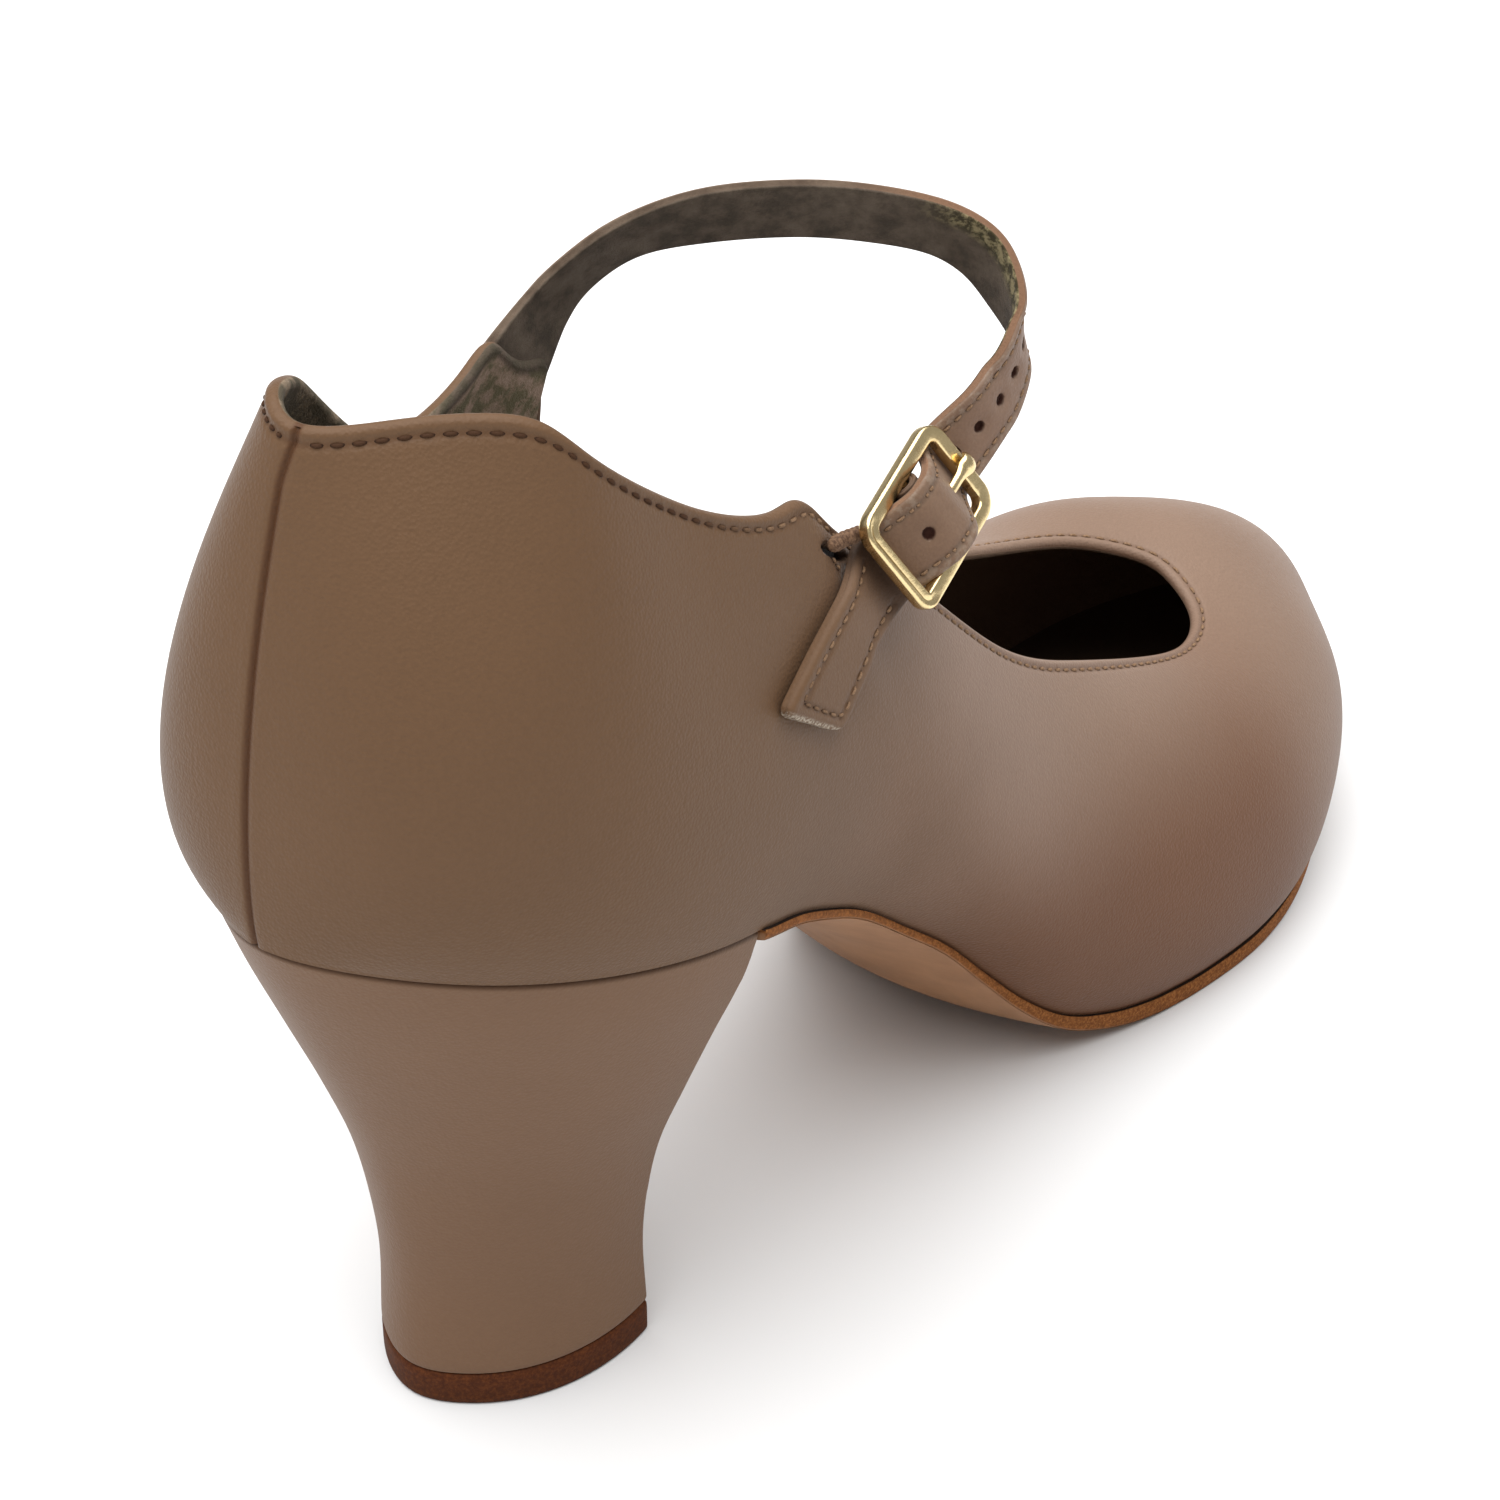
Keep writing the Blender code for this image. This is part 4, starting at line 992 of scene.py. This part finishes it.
def strap_paint(where):
    out, across, hole, along = (mark(where, name) for name in ("out", "across", "hole", "along"))
    grain = tan_grain(where)
    fibre = where.noise(0.3 * MM, 5, 0.75)
    mottle = where.noise(3.2 * MM, 4, 0.65)
    coarse = where.noise(1.1 * MM, 4, 0.7)
    face = out.rises(0.30 * MM, 0.48 * MM)
    back = out.rises(-0.38 * MM, -0.55 * MM)
    suede = blend((0.056, 0.041, 0.029), mottle.rises(0.25, 0.75), (0.140, 0.106, 0.077))
    bent = along.rises(52 * MM, 60 * MM) * along.rises(82 * MM, 76 * MM)
    rough_edge = bent * across.rises(1.2 * MM, 3.0 * MM)
    olive = blend((0.045, 0.036, 0.016), coarse.rises(0.42, 0.62), (0.27, 0.22, 0.115))
    lining = suede.mixed(rough_edge, olive)
    tan = tan_colour(where).times(1.02)
    # A darker line along the stitch groove on each side: painted shade.
    row = abs(abs(across) - STRAP_ROW).rises(0.5 * MM, 0.1 * MM)
    to_rim = abs(across) - STRAP_WIDTH / 2
    dirty = to_rim.rises(-1.9 * MM, -0.6 * MM) * coarse.rises(0.45, 0.6)
    tan = tan.mixed(row * 0.4, (0.07, 0.045, 0.03, 1)).mixed(dirty * 0.25, (0.32, 0.27, 0.21, 1))
    edge = blend((0.22, 0.120, 0.070), fibre.rises(0.4, 0.7) * 0.5, (0.12, 0.062, 0.035))
    edge = edge.mixed(along.rises(58 * MM, 42 * MM) * 0.85, suede)
    tone = edge.mixed(face, tan).mixed(back, lining)
    # The punched holes are painted near black: painted shade inside them.
    pit = hole.rises(0.85 * MM, 0.62 * MM)
    tone = tone.times(0.8 + fibre * 0.4).mixed(pit, (0.026, 0.007, 0.003, 1))
    height = grain * face + fibre * (1 - face) * 4
    return look(tone, 0.9 - face * (1 - pit) * 0.4, dent(where, height, 0.08 * MM, 0.7))


strap_shine = {"Specular IOR Level": 0.2, "Sheen Weight": 0.04}
strap_leather = finish("strap leather", strap_paint, strap_shine)
rows = np.array(STRAP_PATH)
ahead = unit(rows[1, :3] - rows[0, :3])
tab = topline(place(np.linspace(*TAB, 9))) / MM
rows[0, :3] += (((tab - rows[0, :3]) @ ahead).max() - 1.6) * ahead
reach = BUCKLE_LENGTH / 2
under_wire = -(BUCKLE_WIRE / 2 + GAP + STRAP / 2)
over_bar = EYE + GAP + STRAP / 2
local = (
    (-reach - 1.5 * MM, 0, under_wire - 0.2 * MM),
    (-reach + 1.2 * MM, 0, under_wire + 0.2 * MM),
    (-2.3 * MM, 0, over_bar - 0.6 * MM),
    (0, 0, over_bar),
    (2.4 * MM, 0, over_bar - 0.7 * MM),
    (reach - 2.3 * MM, 0, under_wire + 0.75 * MM),
    (reach - 0.4 * MM, 0, under_wire + 0.1 * MM),
)
centres = np.vstack([rows[:, :3] * MM, from_buckle(local)])
edges = np.vstack([rows[:, 3:], np.tile(across_buckle, (len(local), 1))])
path = open_curve(np.hstack([centres, edges * 20 * MM]), 480)
CALM = 16  # samples to either side that the path is averaged over
weights = np.hanning(2 * CALM + 3)[1:-1] / np.hanning(2 * CALM + 3).sum()
padded = np.pad(path, ((CALM, CALM), (0, 0)), mode="edge")
calm = np.stack([np.convolve(column, weights, mode="valid") for column in padded.T], axis=1)
step = np.arange(len(path))
held = (ease(step, 20, 60) * ease(step, 405, 370))[:, None]  # not at the tab or in the buckle
path = path + (calm - path) * held
strap_centres = path[:, :3]
strap_edges, strap_outs = axes_along(strap_centres, path[:, 3:])
strap_run = run_along(strap_centres)
profile = band_profile(STRAP_WIDTH, STRAP, 0.5 * MM, 0.2 * MM, 0.22 * MM)
across, out = profile[:, 0], profile[:, 1]
hole = [np.hypot(strap_run[:, None] - hole_at * MM, across[None, :]) for hole_at in HOLES_AT]
hole = np.min(hole, axis=0)
at_tab = 1 - ease(strap_run, -1 * MM, 8 * MM)
wide = 1 + 0.25 * at_tab + 0.13 * ease(strap_run, 97 * MM, 101 * MM)
thick = 1 + 0.30 * at_tab
strap_centres = strap_centres + 1.3 * MM * at_tab[:, None] * strap_edges
sunk = 0.62 * MM * ease(hole, STRAP_HOLE / 2 + 0.05 * MM, STRAP_HOLE / 2 - 0.18 * MM)
dimple = 0.12 * MM * bump(hole, STRAP_HOLE / 2 + 0.2 * MM, 0.5 * MM)
line = 0.14 * MM * bump(abs(across), STRAP_ROW, 0.35 * MM)[None, :] * (out > 0.4 * MM)
height = out[None, :] - np.sign(out)[None, :] * (sunk + dimple) * (abs(out) > 0.6 * MM) - line
sideways = across[None, :] * wide[:, None]
height = height * thick[:, None]
grid = strap_centres[:, None] + sideways[:, :, None] * strap_edges[:, None]
grid = grid + height[:, :, None] * strap_outs[:, None]
marks = {"out": out[None, :], "across": across[None, :], "hole": hole, "along": strap_run[:, None]}
strap = skin("strap_leather", grid, marks, strap_leather, through=True, caps=True)
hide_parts("strap")
for name, side in (("rear", 1), ("front", -1)):
    inset = side * STRAP_ROW * wide[:, None] * strap_edges
    line = strap_centres + inset + (STRAP / 2 * thick[:, None] - 0.12 * MM) * strap_outs
    keep = (strap_run > 4 * MM) & (strap_run < strap_run[-1] - 1.5 * MM)
    stitches(f"strap_stitch_{name}", line[keep], strap_outs[keep], 2.0 * MM, 0.18 * MM, 0.12 * MM)

# The buckle: a rounded rectangle of cast brass with a bar across its middle, polished and gilt.
# Its prong turns on the bar, comes up through a hole in the strap and rests on the far side.

BAR = 1.5 * MM
PRONG = 1.2 * MM
EYE_RING = 1.38 * MM
EYE_WIRE = 0.5 * MM
SQUARENESS = 0.45  # the wire's section: 1 is round and 0 is square
BUCKLE_CORNERS = ((1, 1, 1.8 * MM), (-1, 1, 2 * MM), (-1, -1, 2 * MM), (1, -1, 1.1 * MM))


def gilt_paint(where):
    wear = where.noise(1.6 * MM, 4, 0.6)
    scratch = where.noise(0.25 * MM, 3, 0.6)
    tone = blend((0.80, 0.63, 0.34), wear.rises(0.5, 0.75) * 0.5, (0.46, 0.32, 0.15))
    normal = dent(where, wear + scratch * 0.2, 0.10 * MM, 0.5)
    return look(tone, 0.14 + wear * 0.16 + scratch * 0.05, normal)


gilt = finish("gilt brass", gilt_paint, {"Metallic": 1.0})
half = BUCKLE_WIDTH / 2
loop = []
for quarter, (a, b, corner) in enumerate(BUCKLE_CORNERS):
    for turn in (quarter + np.arange(13) / 12) * math.pi / 2:
        middle = (a * (reach - corner), b * (half - corner))
        loop.append(middle + corner * np.array((math.cos(turn), math.sin(turn))))
loop = resample(np.array(loop + loop[:1]), 0.35 * MM)[:-1]
ahead = unit(np.roll(loop, -1, axis=0) - np.roll(loop, 1, axis=0))
outward = np.stack([ahead[:, 1], -ahead[:, 0]], axis=1)
turns = np.linspace(0, 2 * math.pi, 28, endpoint=False)
shape_a = np.sign(np.cos(turns)) * abs(np.cos(turns)) ** SQUARENESS * 1.0 * MM
shape_b = np.sign(np.sin(turns)) * abs(np.sin(turns)) ** SQUARENESS * 0.9 * MM
carved = ease(loop[:, 0], reach - 2.2 * MM, reach - 0.9 * MM)[:, None] * 0.45 * MM
notch = carved * bump(shape_a, 0.15 * MM, 0.22 * MM)[None, :] * (shape_b > 0.3 * MM)
flat = loop[:, None] + shape_a[None, :, None] * outward[:, None]
grid = from_buckle(np.dstack([flat, np.broadcast_to(shape_b, flat.shape[:2]) - notch]))
buckle = skin("buckle_wire", grid, {}, gilt, around=True, through=True)
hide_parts("buckle_frame")


def tube(name, points, radii, aside, flatness=1.0, material=gilt):
    """A round bar along points, with a radius at each. Flatness squeezes it square to aside."""
    ahead = unit(np.gradient(points, axis=0))
    first = unit(np.cross(ahead, aside))
    turns = np.linspace(0, 2 * math.pi, 18, endpoint=False)[None, :, None]
    circle = first[:, None] * np.cos(turns) * flatness
    circle = circle + np.cross(ahead, first)[:, None] * np.sin(turns)
    grid = points[:, None] + np.asarray(radii)[:, None, None] * circle
    return skin(name, grid, {}, material, through=True, caps=True)


ends = np.linspace(-half, half, 12)
bar = from_buckle(np.column_stack([ends * 0, ends, ends * 0]))
tube("buckle_bar", bar, np.full(12, BAR / 2), out_of_buckle)
t = np.linspace(0, 1, 40)
low = BAR / 2 + GAP + PRONG / 2
rest = BUCKLE_WIRE / 2 + GAP + PRONG / 2
pin = np.column_stack([-(reach + 0.9 * MM) * t, 0 * t, low + (rest - low) * t])
pin[:, 2] += 0.25 * MM * bump(t, 0.86, 0.06) - 0.55 * MM * ease(t, 0.93, 1.0)
blunt = np.sqrt(np.clip(1 - ((t - 0.965) / 0.036).clip(0, 1) ** 2, 0.2, 1))
broad = 1.15 + 0.75 * ease(t, 0.62, 0.85)
slim = (0.85 / broad)[:, None, None]
prong = tube("buckle_pin", from_buckle(pin), PRONG / 2 * broad * blunt, across_buckle, slim)
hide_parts("buckle_prong")


def round_bar(radius, turns):
    """Points round the buckle's bar at these angles."""
    return from_buckle(np.column_stack([radius * np.cos(turns), 0 * turns, radius * np.sin(turns)]))


eye = round_bar(EYE_RING, np.linspace(0, 2 * math.pi, 30)[:-1])
tube("buckle_pin_eye", eye, np.full(29, EYE_WIRE), across_buckle)

# The buckle's carrier: a folded strip of the tan leather with turned edges and a row of stitching.
# It loops round the bar, lies down the lateral quarter and is stitched there in a long U.

CARRIER_WIDTH = 10 * MM
CARRIER = 1.6 * MM
CARRIER_ROW = 1.7 * MM  # the stitches' distance from its sides
LOOP_WIDTH = 4.1 * MM
LOOP_RING = 1.45 * MM

# The stitched part's outline on the quarter, in mm along and across the buckle.
CARRIER_REAR = ((13.5, 3.6), (18.0, 3.5), (23.0, 3.6), (28.0, 3.5), (32.6, 3.2))
CARRIER_FRONT = ((13.5, -5.8), (16.2, -6.2), (19.2, -6.6), (22.2, -7.0), (25.4, -7.4))


def strip_paint(where):
    grain = tan_grain(where)
    fibre = where.noise(0.35 * MM, 4, 0.7)
    row, end, shade = (mark(where, name) for name in ("row", "end", "shade"))
    # A darker line along the stitch groove: painted shade.
    tone = tan_colour(where).mixed(row * 0.35, (0.075, 0.036, 0.018, 1))
    tone = tone.mixed(shade * 0.75, (0.035, 0.017, 0.009, 1))
    frayed = end.rises(0.8 * MM, 0.2 * MM) * fibre.rises(0.4, 0.6)
    tone = tone.mixed(frayed * 0.75, (0.46, 0.41, 0.33, 1))
    return look(tone, 0.48 + grain * 0.1, dent(where, grain, 0.09 * MM, 0.7))


strip_leather = finish("carrier leather", strip_paint, shine)
coarse = lasted(fine_places((), 3 * MM), np.linspace(0, 1, 30))
corners = [Vector(p) for p in coarse.reshape(-1, 3)]
quarter = BVHTree.FromPolygons(corners, grid_faces(*coarse.shape[:2], around=True))
root = CARRIER / 2 - EYE
free = ((0.6, 0.0, 0.0), (3.0, -0.35, -0.65), (5.5, -0.9, -1.85), (8.2, -1.3, -2.9))
centres = [from_buckle((a * MM, b * MM, root + down * MM)) for a, b, down in free]
halves = [across_buckle] * 3 + [across_buckle + 0.10 * out_of_buckle]
halves = [way * CARRIER_WIDTH / 2 for way in halves]
for rear, front in zip(CARRIER_REAR, CARRIER_FRONT):
    hits = []
    for a, b in (rear, front):
        start = from_buckle((a * MM, b * MM, 30 * MM))
        hits.append(np.array(quarter.ray_cast(Vector(start), Vector(-out_of_buckle))[0]))
    edge = hits[0] - hits[1]
    lean = unit(np.cross(edge, along_buckle))
    centres.append((hits[0] + hits[1]) / 2 + (GAP + 0.2 * MM + CARRIER / 2) * lean)
    halves.append(edge / 2)
path = open_curve(np.hstack([centres, halves]), 150)
centres, halves = path[:, :3], path[:, 3:]
outs = unit(np.cross(halves, np.gradient(centres, axis=0)))
run = run_along(centres)
left = run[-1] - run
profile = band_profile(CARRIER_WIDTH, CARRIER, 0.7 * MM, 0.25 * MM, 0.25 * MM)
bend = 1.6 * MM
rounded = bend - np.sqrt(np.maximum(bend**2 - np.clip(bend - left, 0, None) ** 2, 0))
width = (1 - rounded / (CARRIER_WIDTH / 2)) / (CARRIER_WIDTH / 2)
across, out = profile[:, 0], profile[:, 1]
from_side = CARRIER_WIDTH / 2 - abs(across)
sewn_down = ease(left, 1.0 * MM, 2.0 * MM) * ease(run, 8 * MM, 9 * MM)
side_row = bump(from_side, CARRIER_ROW, 0.4 * MM)[None, :] * sewn_down[:, None]
end_row = bump(left, 1.9 * MM, 0.4 * MM)[:, None] * (from_side > 1.5 * MM)[None, :]
row = np.maximum(side_row, end_row)
thin = 0.35 * MM * ease(left, 0.9 * MM, 0)
height = out[None, :] - (0.2 * MM * row + thin[:, None]) * (out > 0.3 * MM)
sideways = (across[None, :] * width[:, None])[:, :, None] * halves[:, None]
grid = centres[:, None] + sideways + height[:, :, None] * outs[:, None]
marks = {"row": row * (out > 0.3 * MM), "end": left[:, None]}
marks["shade"] = ease(run, 13 * MM, 8 * MM)[:, None]
name = "carrier_leather"
carrier = skin(name, grid, marks, strip_leather, through=True, caps=True)
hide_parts("buckle_carrier")
inset = 1 - CARRIER_ROW / np.linalg.norm(halves, axis=1)
sewn = np.flatnonzero((run > 9 * MM) & (left > 1.9 * MM))
last = sewn[-1]
u_turn = np.linspace(inset[last], -inset[last], 14)[1:-1]
ribs = np.concatenate([sewn, np.full(len(u_turn), last), sewn[::-1]])
sides = np.concatenate([inset[sewn], u_turn, -inset[sewn[::-1]]])[:, None]
u_shape = centres[ribs] + sides * halves[ribs] + (CARRIER / 2 - 0.15 * MM) * outs[ribs]
stitches("carrier_stitch", u_shape, outs[ribs], 2.0 * MM, 0.2 * MM, 0.12 * MM)
loop_path = round_bar(LOOP_RING, np.linspace(0, 1.5 * math.pi, 26))
profile = band_profile(LOOP_WIDTH, 0.95 * MM, 0.35 * MM, 0.2 * MM, 0.4 * MM)[None]
marks = {"row": 0.0, "end": 9 * MM, "shade": 0.7}
for name, middle in (("rear", 3.1 * MM), ("front", -3.1 * MM)):
    centres = loop_path + middle * across_buckle
    edges, outs = axes_along(centres, np.tile(across_buckle, (len(centres), 1)))
    grid = centres[:, None] + profile[..., :1] * edges[:, None] + profile[..., 1:] * outs[:, None]
    name = f"carrier_loop_{name}"
    skin(name, grid, marks, strip_leather, through=True, caps=True)


def roll_paint(where):
    fibre = where.noise(0.5 * MM, 4, 0.7)
    tone = blend((0.060, 0.028, 0.014), fibre.rises(0.35, 0.7), (0.20, 0.115, 0.065))
    return {"Base Color": tone, "Roughness": 0.7 + fibre * 0.2}


roll_ends = np.array([(67.6, -22.9, 104.2), (70.4, -22.6, 103.9), (73.4, -22.6, 103.4)]) * MM
roll_path = open_curve(np.vstack([roll_ends, from_buckle((6.8 * MM, 5.2 * MM, -2.2 * MM))]), 60)
ribbing = 1 + 0.12 * np.sin(np.linspace(0, 14 * math.pi, 60))
blunt_ends = np.sqrt(np.clip(np.minimum(np.arange(60), 59 - np.arange(60)) / 5, 0.15, 1))
radii = 0.85 * MM * ribbing * blunt_ends
roll_leather = finish("dark rolled leather", roll_paint, {"Specular IOR Level": 0.3})
tube("carrier_roll", roll_path, radii, out_of_buckle, 1.0, roll_leather)
bar_tack = np.array([(68.2, -22.45, 102.6), (68.8, -22.6, 101.5), (69.5, -22.75, 100.3)]) * MM
tack_out = np.tile((0.33, -0.90, 0.30), (3, 1))
stitches("slit_stitch", bar_tack + 0.1 * MM * tack_out, tack_out, 1.1 * MM, 0.16 * MM, 0.15 * MM)

# The stage: a plain white floor and backdrop under one broad overhead light and a pale surround.
# The camera stands behind and to the right of the shoe, looking down at 32 degrees.

FAR = 60.0  # metres from the shoe to the floor's edges
floor_mesh = bpy.data.meshes.new("floor")
corners = [(-FAR, -FAR, 0), (FAR, -FAR, 0), (FAR, FAR, 0), (-FAR, FAR, 0)]
floor_mesh.from_pydata(corners, [], [(0, 1, 2, 3)])
floor = show("floor", floor_mesh)


def floor_paint(where):
    return {"Base Color": colour(where, (0.71, 0.71, 0.71))}


white = finish("white floor", floor_paint, {"Roughness": 0.9, "Specular IOR Level": 0.1})
floor_mesh.materials.append(white)

world = bpy.data.worlds.new("studio")
world.use_nodes = True
background = world.node_tree.nodes["Background"]
background.inputs["Color"].default_value = (1, 1, 1, 1)
background.inputs["Strength"].default_value = 0.35
bpy.context.scene.world = world

sun = bpy.data.lights.new("overhead", "SUN")
sun.energy = 5.6
sun.angle = math.radians(85)
sun_at = show("overhead", sun)
sun_at.rotation_euler = Vector((-0.10, 0.05, 1.0)).to_track_quat("Z", "Y").to_euler()

camera = bpy.data.cameras.new("camera")
camera.lens = 74.1
camera.sensor_width = 36
camera_at = show("camera", camera)
aim = Vector((90.88, 7.04, 54.6)) * MM - Vector(ORIGIN)
away = Vector((-0.6637, -0.5279, 0.5299)).normalized()
camera_at.location = aim + away * 0.4
camera_at.rotation_euler = away.to_track_quat("Z", "Y").to_euler()
bpy.context.scene.camera = camera_at
bpy.context.scene.view_settings.view_transform = "Standard"
